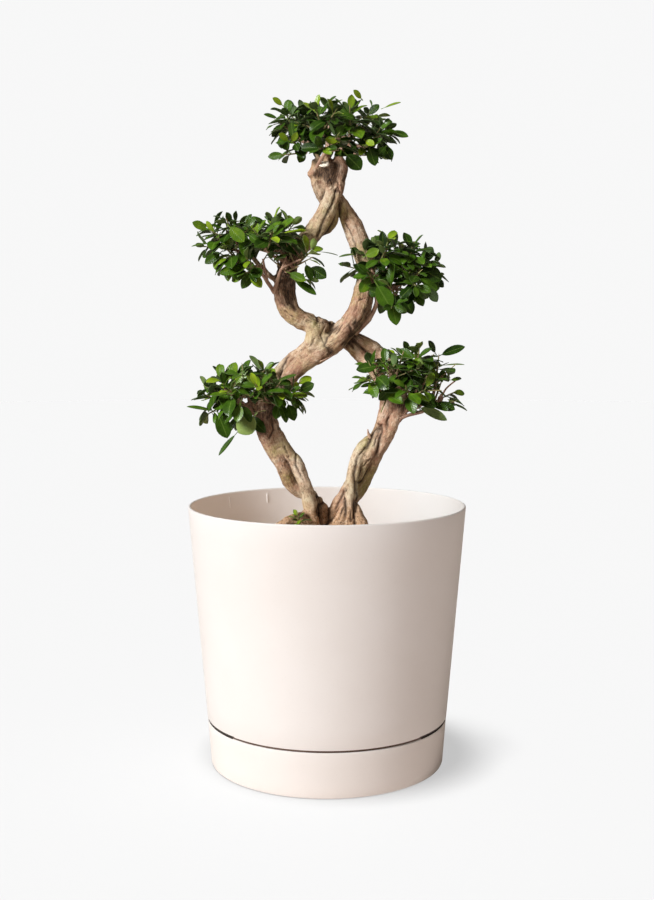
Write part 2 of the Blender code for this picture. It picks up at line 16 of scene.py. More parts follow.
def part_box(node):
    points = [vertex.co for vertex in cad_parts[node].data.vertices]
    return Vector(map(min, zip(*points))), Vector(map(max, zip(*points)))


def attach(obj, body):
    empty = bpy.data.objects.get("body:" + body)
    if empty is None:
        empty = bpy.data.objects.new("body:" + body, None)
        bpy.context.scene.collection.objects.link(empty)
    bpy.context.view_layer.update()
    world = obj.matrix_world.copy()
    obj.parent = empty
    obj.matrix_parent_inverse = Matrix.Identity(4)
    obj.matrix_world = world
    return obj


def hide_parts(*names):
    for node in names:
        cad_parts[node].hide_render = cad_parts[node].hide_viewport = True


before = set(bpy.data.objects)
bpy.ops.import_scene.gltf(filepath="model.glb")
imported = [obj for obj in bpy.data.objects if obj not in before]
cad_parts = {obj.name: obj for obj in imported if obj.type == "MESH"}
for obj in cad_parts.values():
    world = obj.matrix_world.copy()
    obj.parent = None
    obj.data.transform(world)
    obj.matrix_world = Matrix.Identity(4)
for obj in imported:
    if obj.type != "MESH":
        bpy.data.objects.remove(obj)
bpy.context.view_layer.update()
UP = Vector((0, 0, 1))
SEED = 7

# ---------------------------------------------------------------- tree: places, as in the CAD model

# Stems that twist round each other and have grown together. Each point is x, y, z, radius.
STEMS = {
    "left_front": (
        (-0.012, -0.010, 0.245, 0.006), (-0.016, -0.012, 0.299, 0.0105), (-0.022, -0.015, 0.355, 0.0095),
        (-0.039, -0.011, 0.409, 0.0098), (-0.056, -0.008, 0.432, 0.0100), (-0.069, -0.001, 0.450, 0.0105),
        (-0.078, 0.004, 0.472, 0.0110), (-0.077, 0.000, 0.498, 0.0120), (-0.058, -0.007, 0.523, 0.0125),
        (-0.032, -0.010, 0.552, 0.0130), (0.010, -0.011, 0.580, 0.0155), (0.039, -0.012, 0.618, 0.0140),
        (0.052, -0.004, 0.661, 0.0130), (0.053, 0.000, 0.683, 0.0130), (0.040, 0.008, 0.723, 0.0150),
        (0.020, 0.009, 0.764, 0.0105), (-0.004, 0.000, 0.795, 0.0095), (-0.013, -0.002, 0.825, 0.0085),
    ),
    "left_back": (
        (0.024, 0.010, 0.250, 0.006), (0.012, 0.008, 0.295, 0.0105), (-0.012, 0.008, 0.358, 0.0095),
        (-0.047, 0.004, 0.382, 0.0102), (-0.061, -0.004, 0.415, 0.0115), (-0.0765, -0.006, 0.448, 0.0155),
        (-0.082, -0.004, 0.467, 0.0170), (-0.084, -0.002, 0.488, 0.0145), (-0.083, 0.002, 0.505, 0.0115),
        (-0.070, 0.006, 0.528, 0.0105), (-0.052, 0.009, 0.551, 0.0105), (-0.003, 0.005, 0.586, 0.0130),
        (0.042, 0.006, 0.612, 0.0120), (0.056, 0.008, 0.656, 0.0105), (0.057, 0.004, 0.684, 0.0090),
    ),
    "right_front": (
        (0.040, -0.016, 0.250, 0.006), (0.033, -0.014, 0.299, 0.0105), (0.031, -0.016, 0.368, 0.0085),
        (0.043, -0.009, 0.426, 0.0095), (0.067, -0.002, 0.450, 0.0105), (0.076, 0.003, 0.466, 0.0110),
        (0.083, 0.004, 0.501, 0.0110), (0.069, 0.000, 0.535, 0.0090), (0.044, 0.009, 0.563, 0.0095),
        (0.015, 0.012, 0.592, 0.0120), (-0.014, 0.000, 0.602, 0.0130), (-0.042, -0.008, 0.614, 0.0135),
        (-0.054, -0.008, 0.633, 0.0155), (-0.057, -0.006, 0.658, 0.0155), (-0.046, 0.005, 0.698, 0.0130),
        (-0.013, -0.004, 0.731, 0.0145), (0.005, -0.013, 0.767, 0.0115), (0.019, -0.003, 0.807, 0.0095),
        (0.013, 0.000, 0.825, 0.0085),
    ),
    "right_back": (
        (0.018, 0.018, 0.250, 0.006), (0.022, 0.012, 0.300, 0.0095), (0.031, 0.010, 0.352, 0.0095),
        (0.047, 0.011, 0.384, 0.0120), (0.064, 0.001, 0.423, 0.0115), (0.085, -0.008, 0.461, 0.0105),
        (0.099, -0.005, 0.499, 0.0090), (0.097, 0.000, 0.528, 0.0100), (0.082, 0.008, 0.555, 0.0105),
        (0.060, 0.012, 0.572, 0.0105), (0.034, 0.014, 0.588, 0.0100),
    ),
    "right_middle": (
        (0.041, -0.002, 0.394, 0.008), (0.059, -0.008, 0.433, 0.010), (0.070, -0.005, 0.455, 0.009),
    ),
    "waist": (
        (-0.006, 0.000, 0.608, 0.0120), (-0.012, -0.004, 0.590, 0.0145), (-0.020, -0.004, 0.566, 0.0120),
    ),
    "crown_back": (
        (-0.016, -0.002, 0.722, 0.0100), (0.000, 0.001, 0.740, 0.0125), (0.007, 0.004, 0.760, 0.0110),
        (0.007, 0.004, 0.778, 0.0095), (0.000, 0.006, 0.808, 0.0105), (0.000, 0.000, 0.826, 0.0100),
    ),
    "crown_left": (
        (-0.001, -0.004, 0.760, 0.006), (-0.013, -0.006, 0.791, 0.0085), (-0.014, -0.001, 0.824, 0.008),
    ),
}
# Surface roots that spread from the stems' feet and go down into the soil
ROOTS = {
    "left_flare": (
        (-0.019, -0.012, 0.350, 0.009), (-0.031, -0.014, 0.320, 0.011), (-0.042, -0.018, 0.285, 0.008),
    ),
    "left_outer": (
        (-0.024, -0.006, 0.350, 0.007), (-0.042, -0.010, 0.324, 0.009), (-0.064, -0.014, 0.292, 0.006),
    ),
    "middle": (
        (0.008, 0.008, 0.335, 0.009), (0.005, -0.004, 0.312, 0.011), (0.006, -0.012, 0.285, 0.008),
    ),
    "right_behind": (
        (0.038, 0.004, 0.396, 0.007), (0.020, 0.006, 0.366, 0.009), (0.004, 0.008, 0.330, 0.010),
    ),
    "right_inner": (
        (0.028, -0.014, 0.362, 0.008), (0.014, -0.016, 0.325, 0.010), (0.008, -0.020, 0.290, 0.008),
    ),
    "right_outer": (
        (0.034, -0.013, 0.362, 0.008), (0.048, -0.016, 0.326, 0.010), (0.056, -0.020, 0.288, 0.008),
    ),
    "back_left": (
        (-0.012, 0.006, 0.362, 0.009), (-0.022, 0.020, 0.322, 0.012), (-0.034, 0.036, 0.286, 0.008),
    ),
    "back_right": (
        (0.026, 0.008, 0.372, 0.009), (0.034, 0.022, 0.324, 0.012), (0.048, 0.040, 0.286, 0.008),
    ),
}
# Each pad's limb ends at `limb`, forks into branches, and each branch carries shoots. A fork is x, y, z;
# a shoot is the number of its fork, then x, y, z of the middle of its rosette of leaves.
PADS = {
    "crown": {
        "limb": (0.000, 0.000, 0.818),
        "forks": (
            (-0.001, 0.000, 0.836), (-0.025, -0.006, 0.843), (0.031, -0.006, 0.843),
            (0.001, -0.026, 0.848), (0.007, 0.026, 0.855),
        ),
        "shoots": (
            (1, -0.054, -0.012, 0.881), (1, -0.044, -0.038, 0.842), (3, -0.014, -0.046, 0.881),
            (3, 0.014, -0.062, 0.846), (2, 0.030, -0.034, 0.882), (2, 0.078, -0.014, 0.860),
            (2, 0.051, -0.034, 0.835), (1, -0.031, 0.040, 0.890), (4, 0.064, 0.040, 0.885),
            (4, 0.015, 0.066, 0.876), (0, 0.004, 0.000, 0.890),
        ),
    },
    "upper_left": {
        "limb": (-0.058, -0.006, 0.655),
        "forks": (
            (-0.062, -0.002, 0.668), (-0.087, -0.008, 0.682), (-0.106, -0.004, 0.701),
            (-0.053, -0.022, 0.687), (-0.070, 0.022, 0.703),
        ),
        "shoots": (
            (2, -0.156, -0.004, 0.731), (2, -0.131, -0.036, 0.738), (1, -0.134, -0.034, 0.704),
            (1, -0.104, -0.048, 0.688), (3, -0.093, -0.056, 0.723), (3, -0.072, -0.020, 0.738),
            (3, -0.021, -0.034, 0.700), (3, -0.040, -0.046, 0.678), (4, -0.120, 0.042, 0.733),
            (4, -0.062, 0.052, 0.733),
        ),
    },
    "upper_right": {
        "limb": (0.052, 0.002, 0.650),
        "forks": (
            (0.064, 0.000, 0.654), (0.073, -0.016, 0.668), (0.098, -0.004, 0.671),
            (0.089, 0.022, 0.687), (0.094, -0.022, 0.657),
        ),
        "shoots": (
            (1, 0.050, -0.032, 0.699), (1, 0.056, -0.046, 0.669), (1, 0.080, -0.030, 0.714),
            (2, 0.114, -0.024, 0.706), (2, 0.144, -0.006, 0.684), (2, 0.122, -0.044, 0.672),
            (4, 0.082, -0.056, 0.652), (4, 0.108, -0.024, 0.648), (3, 0.094, 0.044, 0.708),
            (3, 0.134, 0.042, 0.688),
        ),
    },
    "lower_left": {
        "limb": (-0.082, -0.002, 0.478),
        "forks": (
            (-0.084, -0.004, 0.490), (-0.104, -0.012, 0.499), (-0.126, -0.006, 0.507),
            (-0.071, -0.024, 0.508), (-0.095, 0.022, 0.514),
        ),
        "shoots": (
            (2, -0.164, -0.010, 0.508), (2, -0.141, -0.030, 0.531), (1, -0.114, -0.012, 0.544),
            (1, -0.128, -0.052, 0.516), (3, -0.092, -0.058, 0.522), (3, -0.064, -0.052, 0.515),
            (3, -0.039, -0.026, 0.524), (1, -0.120, -0.036, 0.484), (4, -0.091, 0.044, 0.540),
            (4, -0.141, 0.044, 0.520),
        ),
    },
    "lower_right": {
        "limb": (0.092, -0.002, 0.486),
        "forks": (
            (0.098, -0.002, 0.498), (0.083, -0.018, 0.520), (0.118, -0.006, 0.512),
            (0.143, -0.006, 0.503), (0.106, 0.022, 0.526),
        ),
        "shoots": (
            (1, 0.058, -0.034, 0.549), (1, 0.072, -0.050, 0.516), (1, 0.100, -0.034, 0.561),
            (2, 0.124, -0.014, 0.569), (3, 0.151, -0.006, 0.556), (3, 0.155, -0.012, 0.527),
            (2, 0.105, -0.054, 0.520), (2, 0.135, -0.036, 0.538), (3, 0.138, -0.030, 0.500),
            (4, 0.089, 0.044, 0.552), (4, 0.132, 0.044, 0.548),
        ),
    },
}
BRANCH_RADIUS = 0.0038
TWIG_RADIUS = 0.0021
SHOOT_RADIUS = 0.0015
SHOOT_LENGTH = 0.022
TWIG_LEAD = 0.010

# ---------------------------------------------------------------- tree: looks

TRUNK_VOXEL = 0.0016
PATH_SPACING = 0.004
CREASE_DEPTH = 0.0024
CREASE_WIDTH = 0.0024
CRACK_DEPTH = 0.0022
HOLLOW_DEPTH = 0.0012  # of a fully dark patch
LUMP = 0.0014
KNOB = 0.0008
RIDGE = 0.0003
RING = 0.0003

# Short dead stubs on the trunk: foot, end, radius. The first one's end is a pale fresh cut.
STUBS = (
    ((-0.004, -0.004, 0.800), (-0.005, -0.0165, 0.8155), 0.0072),
    ((-0.012, -0.004, 0.799), (-0.0205, -0.010, 0.808), 0.0088),
)
# Wood that has filled the hollows between the stems: points of x, y, z, radius
FILLS = (
    ((-0.024, -0.008, 0.606, 0.0090), (-0.017, -0.010, 0.590, 0.0125), (-0.022, -0.011, 0.568, 0.0120),
     (-0.034, -0.009, 0.552, 0.0090)),
    ((0.001, -0.004, 0.818, 0.0120), (0.003, -0.008, 0.796, 0.0120), (0.005, -0.008, 0.778, 0.0080)),
    ((-0.070, -0.008, 0.456, 0.0105), (-0.060, -0.012, 0.438, 0.0100), (-0.050, -0.012, 0.422, 0.0080)),
    ((0.086, -0.006, 0.500, 0.0100), (0.080, -0.008, 0.482, 0.0100), (0.074, -0.008, 0.466, 0.0080)),
    ((-0.030, -0.014, 0.343, 0.0080), (-0.050, -0.022, 0.338, 0.0080), (-0.070, -0.030, 0.327, 0.0060)),
)
# Where the stems have grown together without a crease, as seen from the front: x, z and reach
FUSED = (
    (-0.018, 0.580, 0.026), (0.003, 0.800, 0.020), (-0.060, 0.446, 0.022), (0.082, 0.488, 0.022),
    (0.020, 0.330, 0.012), (-0.034, 0.330, 0.014), (0.054, 0.421, 0.012),
)
CUT_FACE = ((-0.005, -0.0165, 0.8155), (0.0, -0.60, 0.80), 0.0072)
# Places on the front of the bark with their own colour: x, z, reach, then how dark, pink, olive and pale. The
# dark is painted shade in hollows and on the shaded sides of strands, over darker bark, and the pale is
# lighter bark and, on the lower trunks, painted light thrown up from the pot.
# Amounts left out at the end are none.
PATCHES = (
    (-0.008, 0.806, 0.007, 0.9, 0.2), (0.004, 0.802, 0.009, 1.0, 0.2), (0.009, 0.816, 0.009, 0.9, 0.3),
    (0.004, 0.790, 0.006, 0.7, 0.0, 0.2), (-0.022, 0.808, 0.009, 0.1, 1.0),
    (0.022, 0.806, 0.011, 0.55, 1.0), (0.024, 0.784, 0.010, 0.4, 0.9, 0.1),
    (-0.012, 0.784, 0.010, 0.0, 0.3, 0.2, 0.5), (-0.016, 0.801, 0.003, 0.8, 0.2),
    (0.028, 0.798, 0.005, 0.8, 0.3), (0.003, 0.796, 0.007, 0.8, 0.2), (0.0105, 0.779, 0.0032, 1.0),
    (0.002, 0.768, 0.013, 0.0, 0.0, 0.2, 0.9), (0.018, 0.760, 0.010, 0.2, 0.0, 0.9),
    (-0.010, 0.744, 0.016, 0.0, 0.0, 0.5, 0.5), (0.010, 0.738, 0.010, 0.1, 0.0, 0.8),
    (-0.020, 0.726, 0.014, 0.1, 0.0, 0.5, 0.3), (0.034, 0.718, 0.014, 0.0, 0.0, 0.1, 0.7),
    (0.048, 0.694, 0.014, 0.0, 0.0, 0.6, 0.3), (0.048, 0.664, 0.012, 0.0, 0.0, 0.1, 0.7),
    (0.044, 0.640, 0.015, 0.1, 0.7, 0.5), (0.032, 0.616, 0.014, 0.0, 0.9, 0.0, 0.3),
    (0.052, 0.618, 0.009, 0.5, 0.4), (-0.052, 0.668, 0.012, 1.0, 0.3), (-0.051, 0.651, 0.008, 1.0, 0.2),
    (-0.050, 0.636, 0.008, 1.0, 0.2, 0.2), (-0.070, 0.654, 0.011, 0.4, 1.0),
    (-0.043, 0.652, 0.006, 0.6, 0.4, 0.2), (-0.050, 0.686, 0.016, 1.0, 0.3),
    (-0.064, 0.674, 0.012, 0.8, 0.8), (-0.066, 0.636, 0.010, 0.5, 0.8, 0.2),
    (-0.046, 0.615, 0.012, 0.0, 0.0, 1.0), (-0.040, 0.644, 0.008, 0.4, 0.0, 0.6),
    (-0.060, 0.618, 0.010, 0.3, 0.2, 0.8), (-0.018, 0.610, 0.012, 0.0, 0.0, 0.6, 0.5),
    (0.000, 0.608, 0.006, 0.6), (-0.008, 0.584, 0.016, 0.0, 0.2, 0.0, 0.6), (0.012, 0.596, 0.006, 0.6, 0.3),
    (0.000, 0.596, 0.005, 0.5, 0.3, 0.2), (0.018, 0.574, 0.010, 0.0, 0.9, 0.0, 0.1),
    (0.004, 0.567, 0.006, 0.9), (0.034, 0.590, 0.009, 1.0, 0.2), (0.040, 0.604, 0.006, 0.8, 0.3),
    (0.027, 0.577, 0.006, 0.8, 0.3), (-0.040, 0.536, 0.010, 0.35, 0.9), (-0.006, 0.562, 0.009, 0.35, 0.6),
    (0.050, 0.596, 0.006, 0.9, 0.2), (0.026, 0.600, 0.010, 0.1, 0.9),
    (-0.026, 0.562, 0.012, 0.0, 0.8, 0.0, 0.2), (-0.044, 0.548, 0.014, 0.0, 0.8, 0.1, 0.2),
    (-0.066, 0.548, 0.009, 0.0, 0.2, 0.2, 0.8), (0.046, 0.568, 0.012, 0.2, 0.8),
    (0.062, 0.550, 0.012, 0.0, 0.8), (-0.084, 0.478, 0.018, 0.55, 0.9), (-0.092, 0.462, 0.008, 0.6, 0.6),
    (-0.070, 0.488, 0.012, 0.8, 0.3), (-0.082, 0.454, 0.014, 0.2, 0.7),
    (-0.070, 0.438, 0.012, 0.0, 0.2, 0.6, 0.3), (-0.060, 0.416, 0.014, 0.0, 0.8, 0.0, 0.1),
    (-0.040, 0.424, 0.010, 0.0, 0.1, 0.2, 0.7), (-0.052, 0.394, 0.010, 0.0, 0.0, 0.9),
    (-0.026, 0.372, 0.014, 0.0, 0.2, 0.3, 0.4), (0.086, 0.484, 0.018, 0.2, 0.9),
    (0.102, 0.496, 0.010, 0.8, 0.5), (0.076, 0.462, 0.014, 0.2, 0.7, 0.1),
    (0.052, 0.444, 0.012, 0.0, 0.0, 0.9, 0.2), (0.040, 0.424, 0.011, 0.0, 0.0, 0.1, 0.9),
    (0.058, 0.420, 0.012, 0.1, 0.6, 0.1, 0.2), (0.060, 0.400, 0.020, 0.1, 0.0, 1.0),
    (0.052, 0.378, 0.012, 0.2, 0.0, 1.0), (0.030, 0.392, 0.010, 0.0, 0.1, 0.2, 0.6),
    (0.020, 0.340, 0.016, 0.0, 0.4, 0.0, 0.2), (0.046, 0.338, 0.012, 0.0, 0.4, 0.0, 0.5),
    (-0.038, 0.334, 0.016, 0.0, 1.0, 0.0, 0.1), (0.004, 0.344, 0.012, 0.4, 0.8),
    (-0.014, 0.340, 0.008, 0.2, 0.3, 0.3), (-0.058, 0.440, 0.012, 0.0, 0.0, 0.1, 0.6),
    (-0.034, 0.400, 0.012, 0.0, 0.1, 0.0, 0.8), (-0.026, 0.360, 0.012, 0.0, 0.0, 0.2, 0.7),
    (0.034, 0.376, 0.010, 0.0, 0.0, 0.2, 0.8), (0.044, 0.440, 0.010, 0.0, 0.0, 0.3, 0.7),
    (0.068, 0.446, 0.012, 0.0, 0.2, 0.0, 0.5), (-0.056, 0.338, 0.010, 0.1, 1.0),
    (0.016, 0.356, 0.010, 0.0, 0.5, 0.0, 0.5), (0.086, 0.462, 0.010, 0.0, 0.3, 0.3, 0.2),
)

# Cracks and furrows on the front of the bark, as x, z points with the width of the crack. They are coloured
# near black, partly as painted shade, some along the shaded edges of strands.
CRACKS = (
    (((-0.054, 0.559), (-0.059, 0.550), (-0.064, 0.536), (-0.064, 0.524)), 0.0024),
    (((0.013, 0.604), (0.007, 0.598), (0.000, 0.588), (-0.003, 0.576), (0.004, 0.566)), 0.0019),
    (((-0.003, 0.600), (-0.008, 0.590), (-0.006, 0.580)), 0.0010),
    (((0.029, 0.603), (0.034, 0.592), (0.030, 0.580), (0.036, 0.571)), 0.0024),
    (((0.020, 0.603), (0.012, 0.592)), 0.0012), (((-0.016, 0.586), (-0.022, 0.576)), 0.0010),
    (((0.006, 0.607), (-0.004, 0.605), (-0.012, 0.609)), 0.0009),
    (((-0.052, 0.668), (-0.054, 0.652), (-0.049, 0.636), (-0.043, 0.625)), 0.0044),
    (((-0.066, 0.650), (-0.064, 0.634)), 0.0010), (((-0.056, 0.622), (-0.044, 0.612)), 0.0010),
    (((0.059, 0.646), (0.056, 0.630), (0.049, 0.614), (0.045, 0.604)), 0.0014),
    (((0.044, 0.640), (0.038, 0.622)), 0.0009), (((0.042, 0.636), (0.060, 0.641)), 0.0007),
    (((-0.046, 0.440), (-0.042, 0.428), (-0.041, 0.412), (-0.033, 0.395)), 0.0013),
    (((-0.056, 0.440), (-0.052, 0.424)), 0.0008),
    (((-0.074, 0.478), (-0.072, 0.462), (-0.078, 0.450)), 0.0017),
    (((-0.060, 0.474), (-0.066, 0.462)), 0.0010), (((-0.088, 0.470), (-0.083, 0.456)), 0.0012),
    (((0.040, 0.418), (0.037, 0.400), (0.039, 0.384), (0.042, 0.366), (0.040, 0.350)), 0.0024),
    (((0.052, 0.438), (0.043, 0.426), (0.038, 0.418)), 0.0010), (((0.059, 0.421), (0.047, 0.410)), 0.0009),
    (((0.074, 0.468), (0.068, 0.452), (0.064, 0.440)), 0.0012), (((0.084, 0.478), (0.080, 0.462)), 0.0014),
    (((0.012, 0.352), (0.020, 0.366), (0.026, 0.380)), 0.0013), (((-0.012, 0.375), (-0.008, 0.352)), 0.0014),
    (((0.016, 0.340), (0.022, 0.356)), 0.0014), (((0.033, 0.338), (0.032, 0.352)), 0.0016),
    (((0.013, 0.782), (0.008, 0.763), (0.001, 0.751), (-0.007, 0.735), (-0.012, 0.720)), 0.0024),
    (((0.004, 0.800), (0.008, 0.786)), 0.0017),
    (((0.014, 0.796), (0.017, 0.778), (0.020, 0.762)), 0.0009),
    (((0.024, 0.740), (0.034, 0.722), (0.040, 0.704)), 0.0013), (((0.028, 0.760), (0.026, 0.744)), 0.0009),
)
CLEARING_DEPTH = 0.02  # leaves in front of this depth keep off the clearings
FRONT_LEAF_LEAN = 0.008  # how much further back a front leaf's foot is than its tip
FRONT_LEAF_TURN = 0.28  # how far its face is turned to the right
# Spots where nothing hides the wood from the front: x, z and how far round them
CLEARINGS = (
    (-0.008, 0.806, 0.016), (0.010, 0.802, 0.016), (-0.070, 0.668, 0.022), (-0.052, 0.676, 0.020),
    (-0.090, 0.690, 0.014), (-0.030, 0.690, 0.010), (-0.058, 0.645, 0.016), (0.044, 0.655, 0.012),
    (0.036, 0.636, 0.014), (0.058, 0.632, 0.016), (0.092, 0.652, 0.010), (-0.080, 0.482, 0.020),
    (-0.114, 0.500, 0.011), (-0.096, 0.492, 0.012), (-0.030, 0.570, 0.018), (-0.060, 0.548, 0.016),
    (0.076, 0.486, 0.020), (0.096, 0.484, 0.014), (0.062, 0.540, 0.012), (0.110, 0.482, 0.010),
    (0.130, 0.489, 0.010), (0.152, 0.506, 0.011), (0.163, 0.520, 0.010), (0.175, 0.530, 0.012),
)

# Twigs that show at the front, and the thin dry root under the crossing
FRONT_TWIGS = (
    ((0.012, -0.012, 0.568, 0.0013), (0.004, -0.018, 0.560, 0.0013), (-0.007, -0.020, 0.555, 0.0010),
     (-0.018, -0.017, 0.551, 0.0006)),
    ((0.060, 0.002, 0.652, 0.0028), (0.0675, -0.004, 0.636, 0.0030), (0.059, -0.008, 0.614, 0.0032),
     (0.047, -0.008, 0.599, 0.0028), (0.038, -0.006, 0.590, 0.0024)),
    ((-0.016, -0.008, 0.808, 0.0028), (-0.006, -0.022, 0.824, 0.0026), (0.000, -0.026, 0.830, 0.0022),
     (0.020, -0.034, 0.833, 0.0016)),
    ((-0.070, -0.014, 0.646, 0.0034), (-0.083, -0.024, 0.665, 0.0022), (-0.093, -0.030, 0.681, 0.0015)),
    ((-0.080, -0.020, 0.660, 0.0024), (-0.085, -0.030, 0.690, 0.0014)),
    ((-0.071, -0.014, 0.646, 0.0034), (-0.064, -0.026, 0.668, 0.0024), (-0.058, -0.032, 0.679, 0.0019),
     (-0.034, -0.040, 0.689, 0.0013)),
    ((-0.059, -0.032, 0.678, 0.0022), (-0.054, -0.036, 0.693, 0.0014)),
    ((-0.096, -0.010, 0.480, 0.0034), (-0.117, -0.028, 0.502, 0.0022), (-0.137, -0.036, 0.517, 0.0014)),
    ((0.072, -0.006, 0.640, 0.0034), (0.098, -0.028, 0.657, 0.0024), (0.116, -0.036, 0.664, 0.0014)),
    ((0.094, -0.006, 0.470, 0.0036), (0.106, -0.016, 0.480, 0.0024), (0.129, -0.020, 0.486, 0.0020),
     (0.140, -0.020, 0.493, 0.0018), (0.153, -0.018, 0.504, 0.0014), (0.161, -0.014, 0.517, 0.0013),
     (0.175, -0.012, 0.529, 0.0010)),
    ((0.1505, -0.019, 0.496, 0.0008), (0.1515, -0.019, 0.499, 0.0028), (0.1535, -0.019, 0.505, 0.0036),
     (0.1550, -0.019, 0.511, 0.0005)),
    ((0.104, -0.014, 0.480, 0.0024), (0.114, -0.028, 0.500, 0.0018), (0.122, -0.034, 0.522, 0.0012)),
    ((0.060, -0.006, 0.447, 0.0030), (0.0565, -0.010, 0.455, 0.0018), (0.0555, -0.011, 0.462, 0.0006)),
)
# Leaves that stand out at the front: x, z of the stalk's foot and of the tip as seen from the front, the y
# they are at, how squarely they face the front (below 0 shows the underside), width share and tone
FRONT_LEAVES = {
    "crown": (
        (0.017, 0.846, -0.002, 0.851, -0.06, 0.9, 0.46, 0.95),
        (0.019, 0.85, 0.012, 0.862, -0.052, 0.8, 0.5, 0.72),
        (-0.05, 0.847, -0.064, 0.858, -0.05, 0.9, 0.5, 0.78),
        (-0.048, 0.845, -0.04, 0.859, -0.048, 0.85, 0.5, 0.8),
        (0.049, 0.85, 0.063, 0.843, -0.058, 0.9, 0.55, 0.85),
        (-0.057, 0.893, -0.072, 0.905, -0.03, 0.7, 0.46, 0.9),
        (0.048, 0.901, 0.036, 0.915, -0.02, 0.75, 0.46, 0.8),
        (0.072, 0.89, 0.098, 0.9, -0.02, 0.35, 0.4, 0.75),
        (0.079, 0.861, 0.109, 0.855, -0.02, 0.6, 0.42, 0.3),
        (0.022, 0.834, 0.046, 0.811, -0.05, 0.95, 0.62, 0.12),
        (0.055, 0.843, 0.065, 0.816, -0.045, 0.9, 0.52, 0.15),
        (0.072, 0.846, 0.087, 0.824, -0.03, 0.9, 0.55, 0.1),
        (-0.03, 0.838, -0.037, 0.82, -0.008, 0.9, 0.56, 0.35),
        (-0.063, 0.877, -0.084, 0.884, -0.02, 0.45, 0.42, 0.3),
        (-0.055, 0.865, -0.076, 0.861, -0.03, -0.25, 0.36, 0.6),
        (0.025, 0.871, 0.012, 0.857, -0.06, 0.9, 0.5, 0.45), (0.08, 0.842, 0.07, 0.831, -0.04, 0.8, 0.5, 0.2),
    ),
    "upper_left": (
        (-0.135, 0.738, -0.112, 0.715, -0.062, 0.95, 0.52, 0.6),
        (-0.158, 0.73, -0.181, 0.741, -0.03, 0.8, 0.46, 0.62),
        (-0.154, 0.713, -0.183, 0.71, -0.03, 0.12, 0.34, 0.5),
        (-0.14, 0.703, -0.165, 0.686, -0.04, 0.7, 0.42, 0.3),
        (-0.128, 0.737, -0.135, 0.754, -0.02, 0.7, 0.5, 0.3),
        (-0.076, 0.734, -0.1, 0.749, -0.025, 0.45, 0.36, 0.25),
        (-0.074, 0.735, -0.056, 0.745, -0.015, 0.5, 0.42, 0.2),
        (-0.012, 0.702, 0.015, 0.698, -0.03, 0.12, 0.36, 0.35),
        (-0.027, 0.683, -0.001, 0.667, -0.04, 0.9, 0.56, 0.12),
        (-0.05, 0.668, -0.014, 0.645, -0.045, 0.6, 0.3, 0.3),
        (-0.055, 0.675, -0.029, 0.663, -0.052, 0.8, 0.42, 0.6),
        (-0.097, 0.683, -0.115, 0.652, -0.04, 0.85, 0.4, 0.35),
        (-0.116, 0.683, -0.145, 0.672, -0.045, 0.7, 0.42, 0.5),
        (-0.109, 0.726, -0.089, 0.713, -0.06, 0.8, 0.5, 0.3),
    ),
    "upper_right": (
        (0.064, 0.663, 0.087, 0.626, -0.062, 0.97, 0.54, 0.4),
        (0.085, 0.643, 0.095, 0.603, -0.052, 0.97, 0.46, 0.45),
        (0.101, 0.648, 0.116, 0.618, -0.045, 0.9, 0.5, 0.12),
        (0.115, 0.653, 0.131, 0.629, -0.04, 0.8, 0.5, 0.2),
        (0.048, 0.694, 0.07, 0.704, -0.05, 0.85, 0.5, 0.58),
        (0.061, 0.671, 0.045, 0.647, -0.04, 0.8, 0.5, 0.55),
        (0.119, 0.683, 0.155, 0.664, -0.03, 0.9, 0.56, 0.12),
        (0.134, 0.657, 0.15, 0.634, -0.02, -0.9, 0.46, 0.4),
        (0.046, 0.699, 0.016, 0.696, -0.04, 0.12, 0.36, 0.45),
        (0.04, 0.691, 0.034, 0.707, -0.04, 0.5, 0.4, 0.4),
    ),
    "lower_left": (
        (-0.095, 0.484, -0.121, 0.455, -0.055, -0.9, 0.72, 0.85),
        (-0.151, 0.489, -0.136, 0.449, -0.04, 0.9, 0.5, 0.25),
        (-0.121, 0.459, -0.15, 0.426, -0.045, 0.12, 0.22, 0.15),
        (-0.15, 0.485, -0.191, 0.494, -0.025, 0.2, 0.32, 0.5),
        (-0.041, 0.513, -0.018, 0.523, -0.035, 0.9, 0.52, 0.2),
        (-0.074, 0.524, -0.042, 0.537, -0.045, 0.3, 0.36, 0.3),
        (-0.055, 0.5, -0.044, 0.473, -0.035, 0.85, 0.5, 0.35),
        (-0.064, 0.502, -0.07, 0.475, -0.04, 0.85, 0.5, 0.3),
        (-0.142, 0.533, -0.155, 0.548, -0.015, 0.4, 0.36, 0.2),
        (-0.124, 0.535, -0.11, 0.55, -0.015, 0.5, 0.4, 0.2),
    ),
    "lower_right": (
        (0.149, 0.56, 0.187, 0.575, -0.01, 0.45, 0.40, 0.08),
        (0.149, 0.562, 0.139, 0.582, -0.012, 0.6, 0.46, 0.1),
        (0.154, 0.548, 0.187, 0.551, -0.015, 0.18, 0.3, 0.6),
        (0.166, 0.528, 0.183, 0.531, -0.02, 0.5, 0.44, 0.6),
        (0.168, 0.531, 0.164, 0.539, -0.02, 0.6, 0.44, 0.5),
        (0.139, 0.525, 0.164, 0.506, -0.02, 0.25, 0.22, 0.6),
        (0.119, 0.494, 0.165, 0.475, -0.04, -0.55, 0.36, 0.6),
        (0.074, 0.548, 0.04, 0.543, -0.04, 0.6, 0.44, 0.15),
        (0.07, 0.525, 0.046, 0.52, -0.035, 0.3, 0.34, 0.3),
        (0.09, 0.519, 0.071, 0.501, -0.05, 0.8, 0.5, 0.3),
        (0.113, 0.562, 0.105, 0.581, -0.01, 0.7, 0.46, 0.2),
    ),
}

LEAVES_PER_SHOOT = 10
LEAF_LENGTH = 0.043
LEAF_WIDTH = 0.43  # of its length
